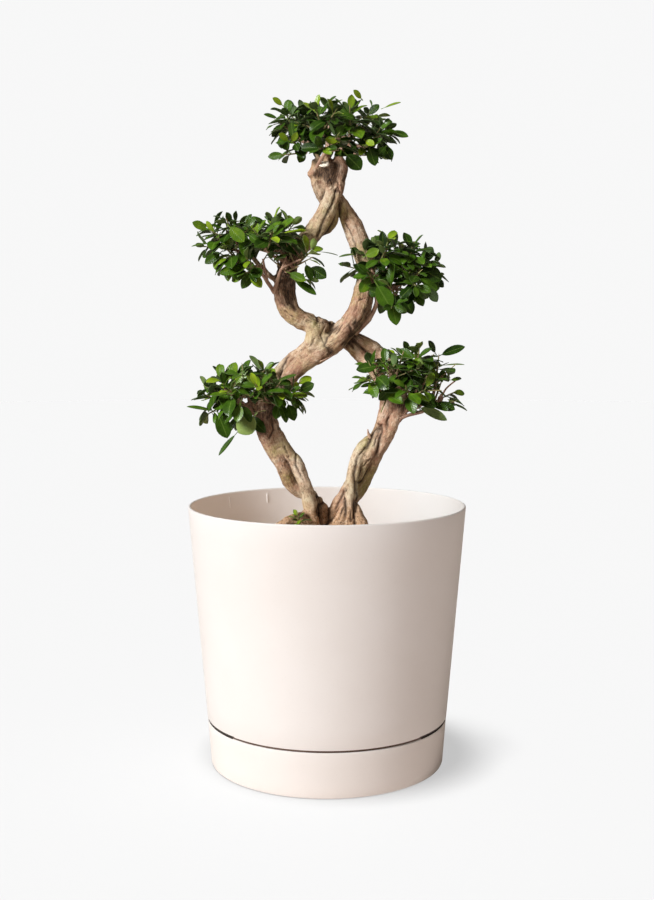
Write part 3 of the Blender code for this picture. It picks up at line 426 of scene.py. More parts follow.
# How each pad grows: the height its leaves stay above, how pale they are and the share of them it keeps
HABITS = {
    "crown": {"lowest": 0.822, "tone": 0.00, "share": 1.0},
    "upper_left": {"lowest": 0.652, "tone": 0.08, "share": 0.92},
    "upper_right": {"lowest": 0.618, "tone": -0.05, "share": 0.88},
    "lower_left": {"lowest": 0.458, "tone": 0.14, "share": 0.84},
    "lower_right": {"lowest": 0.486, "tone": 0.06, "share": 0.70},
}
SIDE_SHOOTS = 3
SIDE_REACH = 0.019
SIDE_LENGTH = SHOOT_LENGTH * 0.6
SIDE_RADIUS = SHOOT_RADIUS * 0.7
SIDE_LEAVES = 7
SIDE_SIZE = 0.86
LEAF_THICKNESS = 0.0005
LEAF_TURN = math.radians(137.5)
LEAF_CLEARANCE = 0.0004
LEAF_TRIES = 26
PETIOLE = 0.20  # of a leaf's length
SPROUT_FOOT = Vector((-0.036, -0.026, 0.330))
SPROUT_TIP = Vector((-0.040, -0.032, 0.346))
SPROUT_LEAVES = 12
SPROUT_LEAF_SHARE = 0.70  # of the height of its CAD node
# The blade's half width, as a share of the widest, at stations from its foot to its tip
BLADE = (
    (0.00, 0.07), (0.06, 0.34), (0.16, 0.64), (0.30, 0.88), (0.45, 0.99), (0.60, 1.00),
    (0.74, 0.86), (0.86, 0.60), (0.94, 0.33), (1.00, 0.03),
)
ACROSS = (-1.0, -0.5, 0.0, 0.5, 1.0)

# ---------------------------------------------------------------- planter
# The same as in the CAD model, but for the step at its seam

RIM_RADIUS = 0.190
RIM_Z = 0.358
POT_WALL = 0.004
SEAM_Z = 0.0645
SEAM_RADIUS = 0.166
SEAM_SIDE = 0.74  # beyond this share of the radius to either side, both edges of the seam are painted in shade
SHADED_EDGE = 0.0013  # how far up the pot's edge that painted shade reaches
SHADED_LIP = 0.0008  # how far in from the saucer's outside that painted shade starts on its lip
SEAM_SHADE_EDGE = 0.0004  # how far up the pot's edge the painted shade of the seam reaches elsewhere
SHOULDER_RADIUS = 0.1645  # a step under the pot's side, just above the saucer's lip, that closes the gap
SHOULDER_Z = 0.0626
FOOT_RADIUS = 0.1583
FOOT_TAPER = 0.0015
FOOT_RING = 0.014
FLOOR_RAISE = 0.006
GAP = 0.0003
SAUCER_HEIGHT = 0.062
SAUCER_FOOT_RADIUS = 0.161
SAUCER_LIP_RADIUS = 0.1655
SAUCER_WALL = 0.0035
DRAIN_RADIUS = 0.012
RIB_ANGLES = (119.0, 140.5, -61.0, -39.5)
RIB_RADIUS = 0.0018
RIB_STAND = 0.0009
RIB_TOP_Z = 0.352
RIB_HEIGHT = 0.016
SIDE_RISE = (RIM_RADIUS - SEAM_RADIUS) / (RIM_Z - SEAM_Z)
TURN_STEPS = 192
SOIL_EDGE_Z = 0.299
SOIL_MOUND = 0.015
SOIL_RINGS = 60
CHIP_COUNT = 900
CHIP_SIZES = (0.0012, 0.0048)


# ---------------------------------------------------------------- small tools


def add_object(name, data, *materials):
    obj = bpy.data.objects.new(name, data)
    bpy.context.scene.collection.objects.link(obj)
    for material in materials:
        data.materials.append(material)
    return obj


def applied(obj):
    """A mesh of the object as its modifiers leave it. The object is removed."""
    graph = bpy.context.evaluated_depsgraph_get()
    mesh = bpy.data.meshes.new_from_object(obj.evaluated_get(graph))
    mesh.transform(obj.matrix_world)
    bpy.data.objects.remove(obj, do_unlink=True)
    return mesh


def new_mesh(name, bm):
    mesh = bpy.data.meshes.new(name)
    bm.to_mesh(mesh)
    bm.free()
    return mesh


def joined(name, meshes):
    bm = bmesh.new()
    for mesh in meshes:
        bm.from_mesh(mesh)
    return new_mesh(name, bm)


def piece(obj, slot, *nodes):
    """A finished piece: it rides on the one body and stands for CAD nodes. Its slot is not used."""
    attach(obj, "root")
    if nodes:
        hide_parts(*nodes)
    return obj


def write_attribute(mesh, name, kind, values):
    attribute = mesh.attributes.new(name, kind, "POINT")
    field = "vector" if kind == "FLOAT_VECTOR" else "value"
    flat = [number for value in values for number in value] if field == "vector" else values
    attribute.data.foreach_set(field, flat)


def catmull_rom(a, b, c, d, t):
    return 0.5 * (2 * b + (c - a) * t + (2 * a - 5 * b + 4 * c - d) * t**2 + (3 * b - a - 3 * c + d) * t**3)


def smooth_path(points, spacing=PATH_SPACING):
    """A smooth curve through points of x, y, z, radius, read at about the given spacing."""
    points = [Vector(p) for p in points]
    ends = [2 * points[0] - points[1], *points, 2 * points[-1] - points[-2]]
    path = []
    for i in range(1, len(ends) - 2):
        count = max(2, round((ends[i + 1] - ends[i]).length / spacing))
        path += [catmull_rom(*ends[i - 1 : i + 3], t / count) for t in range(count)]
    return [*path, points[-1]]


def tube(path, sides_level=3):
    """A closed mesh tube along points of x, y, z, radius."""
    curve = bpy.data.curves.new("tube", "CURVE")
    curve.dimensions = "3D"
    curve.bevel_depth = 1.0
    curve.bevel_resolution = sides_level
    curve.use_fill_caps = True
    spline = curve.splines.new("POLY")
    spline.points.add(len(path) - 1)
    for point, (x, y, z, radius) in zip(spline.points, path):
        point.co = (x, y, z, 1)
        point.radius = radius
    return applied(add_object("tube", curve))


class Shader:
    """Builds a material's nodes: each call adds a node, sets or links its inputs and returns it."""

    def __init__(self, name):
        self.material = bpy.data.materials.new(name)
        self.material.use_nodes = True
        self.tree = self.material.node_tree
        self.surface = self.tree.nodes["Principled BSDF"]

    def node(self, kind, inputs=(), **settings):
        node = self.tree.nodes.new(kind)
        for key, value in settings.items():
            setattr(node, key, value)
        self.fill(node, dict(inputs))
        return node

    def fill(self, node, inputs):
        for key, value in inputs.items():
            if isinstance(value, bpy.types.NodeSocket):
                self.tree.links.new(value, node.inputs[key])
            else:
                node.inputs[key].default_value = value

    def attribute(self, name, output="Fac"):
        return self.node("ShaderNodeAttribute", attribute_name=name).outputs[output]

    def place(self):
        return self.node("ShaderNodeTexCoord").outputs["Object"]

    def noise(self, where, scale, detail=3.0, rough=0.55):
        inputs = {"Vector": where, "Scale": scale, "Detail": detail, "Roughness": rough}
        return self.node("ShaderNodeTexNoise", inputs).outputs["Fac"]

    def maths(self, operation, a, b=0.5, clamp=False):
        return self.node("ShaderNodeMath", {0: a, 1: b}, operation=operation, use_clamp=clamp).outputs[0]

    def vector(self, operation, a, b):
        key = "Scale" if operation == "SCALE" else 1
        return self.node("ShaderNodeVectorMath", {0: a, key: b}, operation=operation).outputs[0]

    def range(self, value, low, high, to_low=0.0, to_high=1.0):
        inputs = {"Value": value, "From Min": low, "From Max": high, "To Min": to_low, "To Max": to_high}
        return self.node("ShaderNodeMapRange", inputs, clamp=True).outputs["Result"]

    def ramp(self, value, *stops):
        node = self.node("ShaderNodeValToRGB", {"Fac": value})
        elements = node.color_ramp.elements
        while len(elements) < len(stops):
            elements.new(0.5)
        for element, (position, colour) in zip(elements, stops):
            element.position = position
            element.color = (*colour, 1)
        return node.outputs["Color"]

    def mix(self, share, a, b, blend="MIX"):
        node = self.node("ShaderNodeMix", data_type="RGBA", blend_type=blend)
        for key, value in ((0, share), (6, a), (7, b)):
            if isinstance(value, bpy.types.NodeSocket):
                self.tree.links.new(value, node.inputs[key])
            else:
                node.inputs[key].default_value = value if key == 0 else (*value, 1)
        return node.outputs[2]

    def bump(self, height, distance, strength=1.0, normal=None):
        inputs = {"Height": height, "Distance": distance, "Strength": strength}
        if normal:
            inputs["Normal"] = normal
        return self.node("ShaderNodeBump", inputs).outputs["Normal"]

    def finish(self, **inputs):
        self.fill(self.surface, {key.replace("_", " "): value for key, value in inputs.items()})
        return self.material


# ---------------------------------------------------------------- materials


def planter_material(name, light, shade):
    """Smooth matt plastic, faintly clouded, with a fine orange-peel surface."""
    s = Shader(name)
    where = s.place()
    cloud = s.noise(where, 7.0, 4.0)
    speck = s.noise(where, 420.0, 2.0)
    colour = s.mix(s.range(cloud, 0.35, 0.68), light, shade)
    colour = s.mix(s.range(speck, 0.62, 0.75, 0.0, 0.10), colour, tuple(c * 0.72 for c in shade))
    rough = s.range(s.noise(where, 30.0, 3.0), 0.3, 0.7, 0.46, 0.62)
    orange_peel = s.bump(s.noise(where, 900.0, 2.0), 0.00015, 0.35)
    return s.finish(Base_Color=colour, Roughness=rough, Normal=orange_peel, Specular_IOR_Level=0.35)


def bark_material():
    """Tan bark, mottled olive and pink, with plates and wrinkles that follow each stem, painted shade in its
    creases, cracks and dark patches, and painted light in its pale patches.
    """
    s = Shader("bark")
    where = s.place()
    core = s.attribute("core", "Vector")
    off_core = s.vector("SUBTRACT", where, core)
    grain = s.vector("ADD", off_core, s.vector("SCALE", core, 0.25))
    rings = s.vector("ADD", s.vector("SCALE", off_core, 0.30), core)

    broad = s.noise(where, 42.0, 3.0)
    mottle = s.noise(where, 150.0, 5.0, 0.65)
    streak = s.noise(grain, 430.0, 4.0, 0.65)
    speck = s.noise(where, 620.0, 3.0, 0.7)
    wrinkle = s.noise(rings, 260.0, 4.0, 0.6)
    long_line = s.maths("ABSOLUTE", s.maths("SUBTRACT", s.noise(grain, 75.0, 4.0, 0.6), 0.5))
    long_line = s.range(long_line, 0.0, 0.014, 1.0, 0.0)
    long_line = s.maths("MULTIPLY", long_line, s.range(s.noise(where, 52.0, 2.0), 0.50, 0.60))
    colour = s.ramp(
        s.maths("ADD", s.maths("MULTIPLY", broad, 0.5), s.maths("MULTIPLY", mottle, 0.5)),
        (0.37, (0.170, 0.088, 0.050)), (0.44, (0.385, 0.238, 0.145)), (0.52, (0.555, 0.395, 0.262)),
        (0.61, (0.735, 0.605, 0.460)),
    )
    # the pale patches: lighter bark, and on the lower trunks painted light thrown up from the pot
    pale = s.maths("MULTIPLY", s.attribute("pale"), s.range(mottle, 0.38, 0.56, 0.35, 0.95))
    colour = s.mix(pale, colour, (0.76, 0.68, 0.53))
    olive = s.range(s.noise(where, 27.0, 3.0), 0.52, 0.64, 0.0, 0.5)
    olive = s.maths("ADD", olive, s.attribute("olive"), clamp=True)
    olive = s.maths("MULTIPLY", olive, s.range(mottle, 0.34, 0.62, 0.35, 0.90))
    colour = s.mix(olive, colour, (0.39, 0.33, 0.105))
    pink = s.range(s.noise(where, 24.0, 3.0), 0.49, 0.62, 0.0, 0.6)
    pink = s.maths("ADD", pink, s.attribute("pink"), clamp=True)
    pink = s.maths("MULTIPLY", pink, s.range(mottle, 0.36, 0.60, 0.92, 0.50))
    colour = s.mix(pink, colour, (0.43, 0.225, 0.150))
    colour = s.mix(s.range(streak, 0.56, 0.70, 0.0, 0.38), colour, (0.80, 0.70, 0.55))
    colour = s.mix(s.range(streak, 0.46, 0.36, 0.0, 0.55), colour, (0.170, 0.092, 0.050))
    colour = s.mix(s.range(speck, 0.58, 0.72, 0.0, 0.55), colour, (0.74, 0.62, 0.47))
    colour = s.mix(s.range(speck, 0.40, 0.30, 0.0, 0.65), colour, (0.13, 0.07, 0.04))
    colour = s.mix(s.range(wrinkle, 0.37, 0.30, 0.0, 0.55), colour, (0.14, 0.075, 0.04))
    colour = s.mix(s.maths("MULTIPLY", long_line, 0.65), colour, (0.11, 0.06, 0.03))
    foot = s.range(s.node("ShaderNodeSeparateXYZ", {0: where}).outputs["Z"], 0.368, 0.342)
    grit = s.noise(where, 330.0, 4.0, 0.7)
    colour = s.mix(s.maths("MULTIPLY", foot, 0.65), colour, (0.72, 0.44, 0.24))
    dark_grit = s.maths("MULTIPLY", foot, s.range(grit, 0.47, 0.40, 0.0, 0.75))
    colour = s.mix(dark_grit, colour, (0.20, 0.095, 0.050))
    colour = s.mix(s.maths("MULTIPLY", foot, s.range(grit, 0.56, 0.66, 0.0, 0.8)), colour, (0.86, 0.68, 0.50))
    # painted shade: near black in the creases between stems and in the cracks, which are partly darker bark
    # as well
    crease = s.maths("POWER", s.attribute("crease"), 1.6)
    colour = s.mix(s.maths("MULTIPLY", crease, 0.96), colour, (0.034, 0.017, 0.009))
    # painted shade: the dark patches turn the bark to near-black fibrous bark in hollows and on shaded sides
    hollow_shade_and_fibre = s.range(s.noise(grain, 700.0, 3.0), 0.42, 0.62)
    hollow_shade_and_fibre = s.mix(hollow_shade_and_fibre, (0.016, 0.008, 0.004), (0.15, 0.085, 0.048))
    dark = s.maths("ADD", s.attribute("dark"), s.range(streak, 0.35, 0.65, 0.22, -0.22))
    colour = s.mix(s.range(dark, 0.15, 0.80, 0.0, 0.95), colour, hollow_shade_and_fibre)
    colour = s.mix(s.attribute("cut"), colour, (1.0, 0.92, 0.78))

    height = s.maths("ADD", s.maths("MULTIPLY", mottle, 1.0), s.maths("MULTIPLY", streak, 0.35))
    height = s.maths("ADD", height, s.maths("MULTIPLY", wrinkle, 0.5))
    height = s.maths("ADD", height, s.maths("MULTIPLY", speck, 0.25))
    height = s.maths("SUBTRACT", height, s.maths("MULTIPLY", long_line, 0.35))
    height = s.maths("ADD", height, s.maths("MULTIPLY", s.maths("MULTIPLY", foot, grit), 1.6))
    normal = s.bump(height, 0.0025, 1.0)
    normal = s.bump(s.noise(where, 1500.0, 2.0), 0.0003, 0.45, normal)
    rough = s.range(broad, 0.3, 0.7, 0.74, 0.60)
    return s.finish(Base_Color=colour, Roughness=rough, Normal=normal, Specular_IOR_Level=0.30)


def twig_material():
    s = Shader("twig_bark")
    where = s.place()
    colour = s.ramp(
        s.noise(where, 70.0, 4.0),
        (0.32, (0.17, 0.085, 0.055)), (0.52, (0.36, 0.215, 0.150)), (0.70, (0.52, 0.365, 0.250)),
    )
    colour = s.mix(s.range(s.noise(where, 900.0, 2.0), 0.60, 0.70, 0.0, 0.7), colour, (0.62, 0.50, 0.38))
    normal = s.bump(s.noise(where, 700.0, 3.0), 0.0005, 0.6)
    return s.finish(Base_Color=colour, Roughness=0.62, Normal=normal, Specular_IOR_Level=0.4)


def leaf_material(name, old, middle, young, rib, rough, shine):
    """Old to young by the leaf's own tone, with a pale midrib, faint side veins and darker edges."""
    s = Shader(name)
    where = s.place()
    across = s.attribute("across")
    along = s.attribute("along")
    side = s.maths("ABSOLUTE", across)
    tone = s.maths("ADD", s.attribute("tone"), s.range(s.noise(where, 95.0, 2.0), 0.3, 0.7, -0.10, 0.10))
    colour = s.ramp(tone, (0.0, old), (0.5, middle), (1.0, young))
    vein = s.maths("SUBTRACT", along, s.maths("MULTIPLY", side, 0.22))
    vein = s.maths("FRACT", s.maths("MULTIPLY", vein, 9.0))
    vein = s.range(s.maths("ABSOLUTE", s.maths("SUBTRACT", vein, 0.5)), 0.0, 0.16, 1.0, 0.0)
    colour = s.mix(s.maths("MULTIPLY", vein, 0.10), colour, rib)
    colour = s.mix(s.range(side, 0.80, 1.0, 0.0, 0.35), colour, tuple(c * 0.55 for c in middle))
    midrib = s.range(side, 0.03, 0.10, 0.45, 0.0)
    colour = s.mix(midrib, colour, rib)
    normal = s.bump(s.maths("ADD", vein, s.maths("MULTIPLY", midrib, 1.5)), 0.00025, 0.5)
    gloss = s.range(s.noise(where, 140.0, 2.0), 0.3, 0.7, rough - 0.06, rough + 0.08)
    return s.finish(Base_Color=colour, Roughness=gloss, Normal=normal, Specular_IOR_Level=shine)


def green_stem_material():
    s = Shader("green_stem")
    where = s.place()
    colour = s.mix(s.range(s.noise(where, 240.0, 2.0), 0.4, 0.6), (0.20, 0.23, 0.07), (0.32, 0.22, 0.12))
    normal = s.bump(s.noise(where, 900.0, 2.0), 0.0003, 0.5)
    return s.finish(Base_Color=colour, Roughness=0.5, Normal=normal)


def soil_material():
    s = Shader("potting_mix")
    where = s.place()
    colour = s.ramp(
        s.noise(where, 260.0, 5.0, 0.7),
        (0.30, (0.012, 0.008, 0.006)), (0.50, (0.055, 0.033, 0.020)), (0.68, (0.155, 0.095, 0.055)),
    )
    normal = s.bump(s.noise(where, 420.0, 5.0, 0.7), 0.002, 0.9)
    return s.finish(Base_Color=colour, Roughness=0.95, Normal=normal, Specular_IOR_Level=0.2)


def chip_material():
    s = Shader("bark_chips")
    where = s.place()
    colour = s.ramp(
        s.noise(where, 120.0, 3.0),
        (0.32, (0.045, 0.024, 0.014)), (0.52, (0.150, 0.080, 0.045)), (0.70, (0.300, 0.190, 0.115)),
    )
    normal = s.bump(s.noise(where, 900.0, 4.0), 0.0007, 0.8)
    return s.finish(Base_Color=colour, Roughness=0.9, Normal=normal, Specular_IOR_Level=0.2)


# ---------------------------------------------------------------- planter and soil


def arc(centre_r, centre_z, radius, start, end, steps):
    """Profile points on an arc, its angles in degrees from outward (+r) towards up (+z)."""
    angles = [math.radians(start + (end - start) * i / steps) for i in range(steps + 1)]
    return [(centre_r + radius * math.cos(a), centre_z + radius * math.sin(a)) for a in angles]


def turned(name, profile, closed=True):
    """A turned mesh. The profile is (radius, height) pairs that run down its outer side."""
    bm = bmesh.new()
    verts = [bm.verts.new((r, 0, z)) for r, z in profile]
    for a, b in zip(verts, verts[1:]):
        bm.edges.new((a, b))
    if closed:
        bm.edges.new((verts[-1], verts[0]))
    obj = add_object(name, new_mesh(name, bm))
    screw = obj.modifiers.new("Turn", "SCREW")
    screw.steps = screw.render_steps = TURN_STEPS
    screw.use_merge_vertices = True
    screw.merge_threshold = 1e-5
    mesh = applied(obj)
    mesh.shade_smooth()
    mesh.set_sharp_from_angle(angle=math.radians(40))
    return mesh


def stations(start, end, count):
    """Points from start to end, so that a long straight side shades evenly."""
    return [
        (start[0] + (end[0] - start[0]) * i / count, start[1] + (end[1] - start[1]) * i / count)
        for i in range(1, count + 1)
    ]


PAINTED_SEAM_SHADE = 1  # places of the two dark materials that paint the seam's shade, among the planter's materials
PAINTED_SEAM_SIDE_SHADE = 2


def at_seam_side(point):
    """Whether a point of the pot or saucer is far enough to the left or right for painted shade on both seam
    edges.
    """
    return abs(point.x) > SEAM_SIDE * SEAM_RADIUS


def make_pot(material, painted_seam_shades):
    """The pot, with painted shade where its hidden part shows in the seam, and the stop ribs inside its rim.
    """
    lip = POT_WALL / 2
    foot_z = SAUCER_WALL + GAP
    foot_r = FOOT_RADIUS - FOOT_TAPER
    floor_z = foot_z + FLOOR_RAISE
    outer_top = (RIM_RADIUS, RIM_Z - lip)
    outer_bottom = (SEAM_RADIUS + SIDE_RISE * 0.0016, SEAM_Z + 0.0016)
    inner_bottom = (SEAM_RADIUS - POT_WALL, SEAM_Z + POT_WALL)
    inner_top = (RIM_RADIUS - POT_WALL, RIM_Z - lip)
    profile = [
        *arc(RIM_RADIUS - lip, RIM_Z - lip, lip, 160, 0, 8),
        *stations(outer_top, outer_bottom, 10),
        (SEAM_RADIUS - 0.0003, SEAM_Z + 0.0006), (SEAM_RADIUS - 0.0010, SEAM_Z),
        (SHOULDER_RADIUS, SEAM_Z - 0.0002), (SHOULDER_RADIUS, SHOULDER_Z), (FOOT_RADIUS, SHOULDER_Z),
        (foot_r, foot_z + 0.002), (foot_r - 0.002, foot_z), (foot_r - FOOT_RING, foot_z),
        (foot_r - FOOT_RING - 0.002, floor_z), (DRAIN_RADIUS, floor_z), (DRAIN_RADIUS, floor_z + POT_WALL),
        (foot_r - POT_WALL - 0.004, floor_z + POT_WALL), (foot_r - POT_WALL, floor_z + POT_WALL + 0.004),
        (FOOT_RADIUS - POT_WALL, SEAM_Z - 0.002),
        inner_bottom, *stations(inner_bottom, inner_top, 8),
    ]
    mesh = turned("pot_shell", profile)
    # painted shade: the pot's edge in the seam takes dark materials, near black at the sides
    for polygon in mesh.polygons:
        sideways = at_seam_side(polygon.center)
        if polygon.center.z < SEAM_Z + (SHADED_EDGE if sideways else SEAM_SHADE_EDGE):
            polygon.material_index = PAINTED_SEAM_SIDE_SHADE if sideways else PAINTED_SEAM_SHADE
    pot = piece(add_object("pot_shell", mesh, material, *painted_seam_shades), "planter", "pot")
    bm = bmesh.new()
    middle_z = RIB_TOP_Z - RIB_HEIGHT / 2
    wall_r = RIM_RADIUS - POT_WALL - (RIM_Z - middle_z) * SIDE_RISE
    for angle in RIB_ANGLES:
        place = Matrix.Rotation(math.radians(angle), 4, "Z") @ Matrix.Translation((wall_r, 0, middle_z))
        tilt = Matrix.Rotation(math.atan(SIDE_RISE), 4, "Y")
        size = Matrix.Diagonal((RIB_STAND, RIB_RADIUS, RIB_HEIGHT / 2, 1))
        bmesh.ops.create_uvsphere(bm, u_segments=20, v_segments=14, radius=1, matrix=place @ tilt @ size)
    ribs = new_mesh("pot_ribs", bm)
    ribs.shade_smooth()
    return pot, piece(add_object("pot_ribs", ribs, material), "planter")


def make_saucer(material, painted_seam_shades):
    """The saucer, with painted shade inside it and on its lip at the left and right."""
    lip = SAUCER_WALL / 2
    outer_top = (SAUCER_LIP_RADIUS, SAUCER_HEIGHT - lip)
    outer_bottom = (SAUCER_FOOT_RADIUS + 0.0002, 0.003)
    profile = [
        *arc(SAUCER_LIP_RADIUS - lip, SAUCER_HEIGHT - lip, lip, 180, 0, 8),
        *stations(outer_top, outer_bottom, 4),
        (SAUCER_FOOT_RADIUS - 0.0006, 0.0010), (SAUCER_FOOT_RADIUS - 0.0025, 0),
        (0.08, 0), (0, 0), (0, SAUCER_WALL), (0.08, SAUCER_WALL),
        (SAUCER_FOOT_RADIUS - SAUCER_WALL - 0.003, SAUCER_WALL),
        (SAUCER_FOOT_RADIUS - SAUCER_WALL + 0.001, SAUCER_WALL + 0.003),
    ]
    mesh = turned("saucer_dish", profile)
    # painted shade: the saucer's inside, and the shaded part of its lip at the sides, take dark materials
    for polygon in mesh.polygons:
        inside = polygon.center.xy.length < SAUCER_FOOT_RADIUS - SAUCER_WALL / 2
        on_lip = polygon.center.z > SAUCER_HEIGHT - lip
        shaded = polygon.center.xy.length < SAUCER_LIP_RADIUS - SHADED_LIP
        if on_lip and shaded and at_seam_side(polygon.center):
            polygon.material_index = PAINTED_SEAM_SIDE_SHADE
        elif inside and polygon.center.z > SAUCER_WALL / 2:
            polygon.material_index = PAINTED_SEAM_SHADE
    return piece(add_object("saucer_dish", mesh, material, *painted_seam_shades), "saucer", "saucer")


def soil_height(x, y, reach):
    """The height of the soil's lumpy surface, which rises towards the trunk."""
    mound = SOIL_MOUND * max(0.0, 1 - (math.hypot(x, y) / reach) ** 2) ** 2
    lumps = 0.0035 * noise.noise(Vector((x, y, 0)) * 38) + 0.0022 * noise.noise(Vector((x, y, 3)) * 110)
    return SOIL_EDGE_Z + mound + lumps


def make_soil(material, chips):
    """A body of potting mix with a lumpy top, and loose bark chips that lie on it."""
    chance = random.Random(SEED)
    noise.seed_set(SEED)
    edge_r = RIM_RADIUS - POT_WALL - (RIM_Z - SOIL_EDGE_Z) * SIDE_RISE - 2 * GAP
    floor_z = SAUCER_WALL + GAP + FLOOR_RAISE + POT_WALL + GAP
    floor_r = FOOT_RADIUS - FOOT_TAPER - POT_WALL - 2 * GAP
    profile = [
        *[(edge_r * i / SOIL_RINGS, SOIL_EDGE_Z) for i in range(SOIL_RINGS + 1)],
        (SEAM_RADIUS - POT_WALL - 2 * GAP, SEAM_Z + POT_WALL),
        (FOOT_RADIUS - POT_WALL - 2 * GAP, SEAM_Z - 0.002),
        (floor_r, floor_z + 0.004), (floor_r - 0.004, floor_z), (0, floor_z),
    ]
    mesh = turned("soil_body", profile, closed=False)
    for vert in mesh.vertices:
        if vert.co.z > SOIL_EDGE_Z - 0.001:
            share = min(1.0, (edge_r - math.hypot(vert.co.x, vert.co.y)) / 0.004 + 0.15)
            height = soil_height(vert.co.x, vert.co.y, edge_r) - SOIL_EDGE_Z
            vert.co.z = SOIL_EDGE_Z + height * max(0.0, share)
    piece(add_object("soil_body", mesh, material), "soil", "soil")

    bm = bmesh.new()
    for _ in range(CHIP_COUNT):
        turn = chance.uniform(0, math.tau)
        reach = (edge_r - 0.006) * math.sqrt(chance.random())
        x = reach * math.cos(turn)
        y = reach * math.sin(turn)
        spot = Vector((x, y, soil_height(x, y, edge_r)))
        size = chance.uniform(*CHIP_SIZES)
        spin = Matrix.Rotation(chance.uniform(0, math.tau), 4, Vector([chance.gauss(0, 1) for _ in range(3)]))
        shape = Matrix.Diagonal((size, size * chance.uniform(0.5, 0.9), size * chance.uniform(0.25, 0.6), 1))
        made = bmesh.ops.create_icosphere(
            bm, subdivisions=1, radius=1, matrix=Matrix.Translation(spot) @ spin @ shape
        )
        for vert in made["verts"]:
            vert.co += 0.25 * size * noise.noise_vector(vert.co * 400)
    return piece(add_object("soil_chips", new_mesh("soil_chips", bm), chips), "soil")


# ---------------------------------------------------------------- wood


def shoot_axis(fork, rosette):
    """The direction that a shoot grows in: away from its fork, and turned up towards the light."""
    return ((rosette - fork).normalized() + 0.45 * UP).normalized()


def branch_paths(pad):
    limb = Vector(pad["limb"])
    for fork in map(Vector, pad["forks"]):
        middle = limb.lerp(fork, 0.5) - 0.08 * (fork - limb).length * UP
        yield (*limb, BRANCH_RADIUS * 1.1), (*middle, BRANCH_RADIUS), (*fork, TWIG_RADIUS * 1.3)


def twig_paths(pad):
    for number, *rosette in pad["shoots"]:
        fork = Vector(pad["forks"][number])
        rosette = Vector(rosette)
        axis = shoot_axis(fork, rosette)
        end = rosette - axis * SHOOT_LENGTH
        lead = end - axis * TWIG_LEAD
        bend = fork.lerp(lead, 0.5) - 0.06 * (lead - fork).length * UP
        yield (
            (*fork, TWIG_RADIUS * 1.25), (*bend, TWIG_RADIUS * 1.05),
            (*lead, TWIG_RADIUS * 0.9), (*end, SHOOT_RADIUS),
        )


class Core:
    """The middle line of one stem, to find how deep a point lies in it."""

    def __init__(self, points):
        path = smooth_path(points, 0.002)
        self.points = [p.xyz for p in path]
        self.radii = [p.w for p in path]
        self.tree = KDTree(len(path))
        for i, point in enumerate(self.points):
            self.tree.insert(point, i)
        self.tree.balance()

    def nearest(self, place):
        """How far the place is outside the stem's skin, and the point on the middle line beside it."""
        point, i, distance = self.tree.find(place)
        last = len(self.points) - 1
        along = (self.points[min(i + 1, last)] - self.points[max(i - 1, 0)]).normalized()
        return distance - self.radii[i], point + along * along.dot(place - point)


def bark_relief(vert, margin, second, core):
    """How far a point of the trunk's skin moves out, and how deep in a crease between stems it lies."""
    place = vert.co
    crease = math.exp(-(((second - margin) / CREASE_WIDTH) ** 2)) if second < 0.02 else 0.0
    off_core = place - core
    lump = LUMP * noise.noise(place * 48) + KNOB * noise.noise(place * 120)
    ridge = RIDGE * (0.5 - 2 * abs(noise.noise(off_core * 210 + core * 40)))
    ring = RING * noise.noise(off_core * 60 + core * 300)
    return lump + ridge + ring, crease


def crack_share(place, normal):
    """How deep a point of the bark's front lies in a crack."""
    if normal.y > 0.25:
        return 0.0
    spot = Vector((place.x, place.z))
    wander = 0.0016 * Vector((noise.noise(place * 130), noise.noise(place * 130 + UP)))
    deepest = 0.0
    for line, width in CRACKS:
        for a, b in zip(map(Vector, line), map(Vector, line[1:])):
            along = max(0.0, min(1.0, (spot - a).dot(b - a) / (b - a).length_squared))
            away = (spot + wander - a.lerp(b, along)).length / width
            if away < 3:
                deepest = max(deepest, math.exp(-(away**2)))
    return deepest


def patch_shares(place, normal):
    """How dark, pink, olive and pale the patches make a point of the bark's front: the dark is partly painted
    shade, the pale partly painted light.
    """
    shares = [0.0, 0.0, 0.0, 0.0]
    front = max(0.0, min(1.0, (0.45 - normal.y) / 0.6))
    wander = 0.004 * Vector((noise.noise(place * 60), noise.noise(place * 60 + UP)))
    spot = Vector((place.x, place.z)) + wander
    for x, z, reach, *amounts in PATCHES:
        near = front * math.exp(-((spot - Vector((x, z))).length_squared / reach**2))
        for i, amount in enumerate(amounts):
            shares[i] += near * amount
    return [min(1.0, share) for share in shares]


def fused_share(place, normal):
    """How fully the stems have grown together at a point of the front."""
    if normal.y > 0.3:
        return 0.0
    distances = [((place.x - x) ** 2 + (place.z - z) ** 2) / reach**2 for x, z, reach in FUSED]
    return max(math.exp(-(distance**2)) for distance in distances)


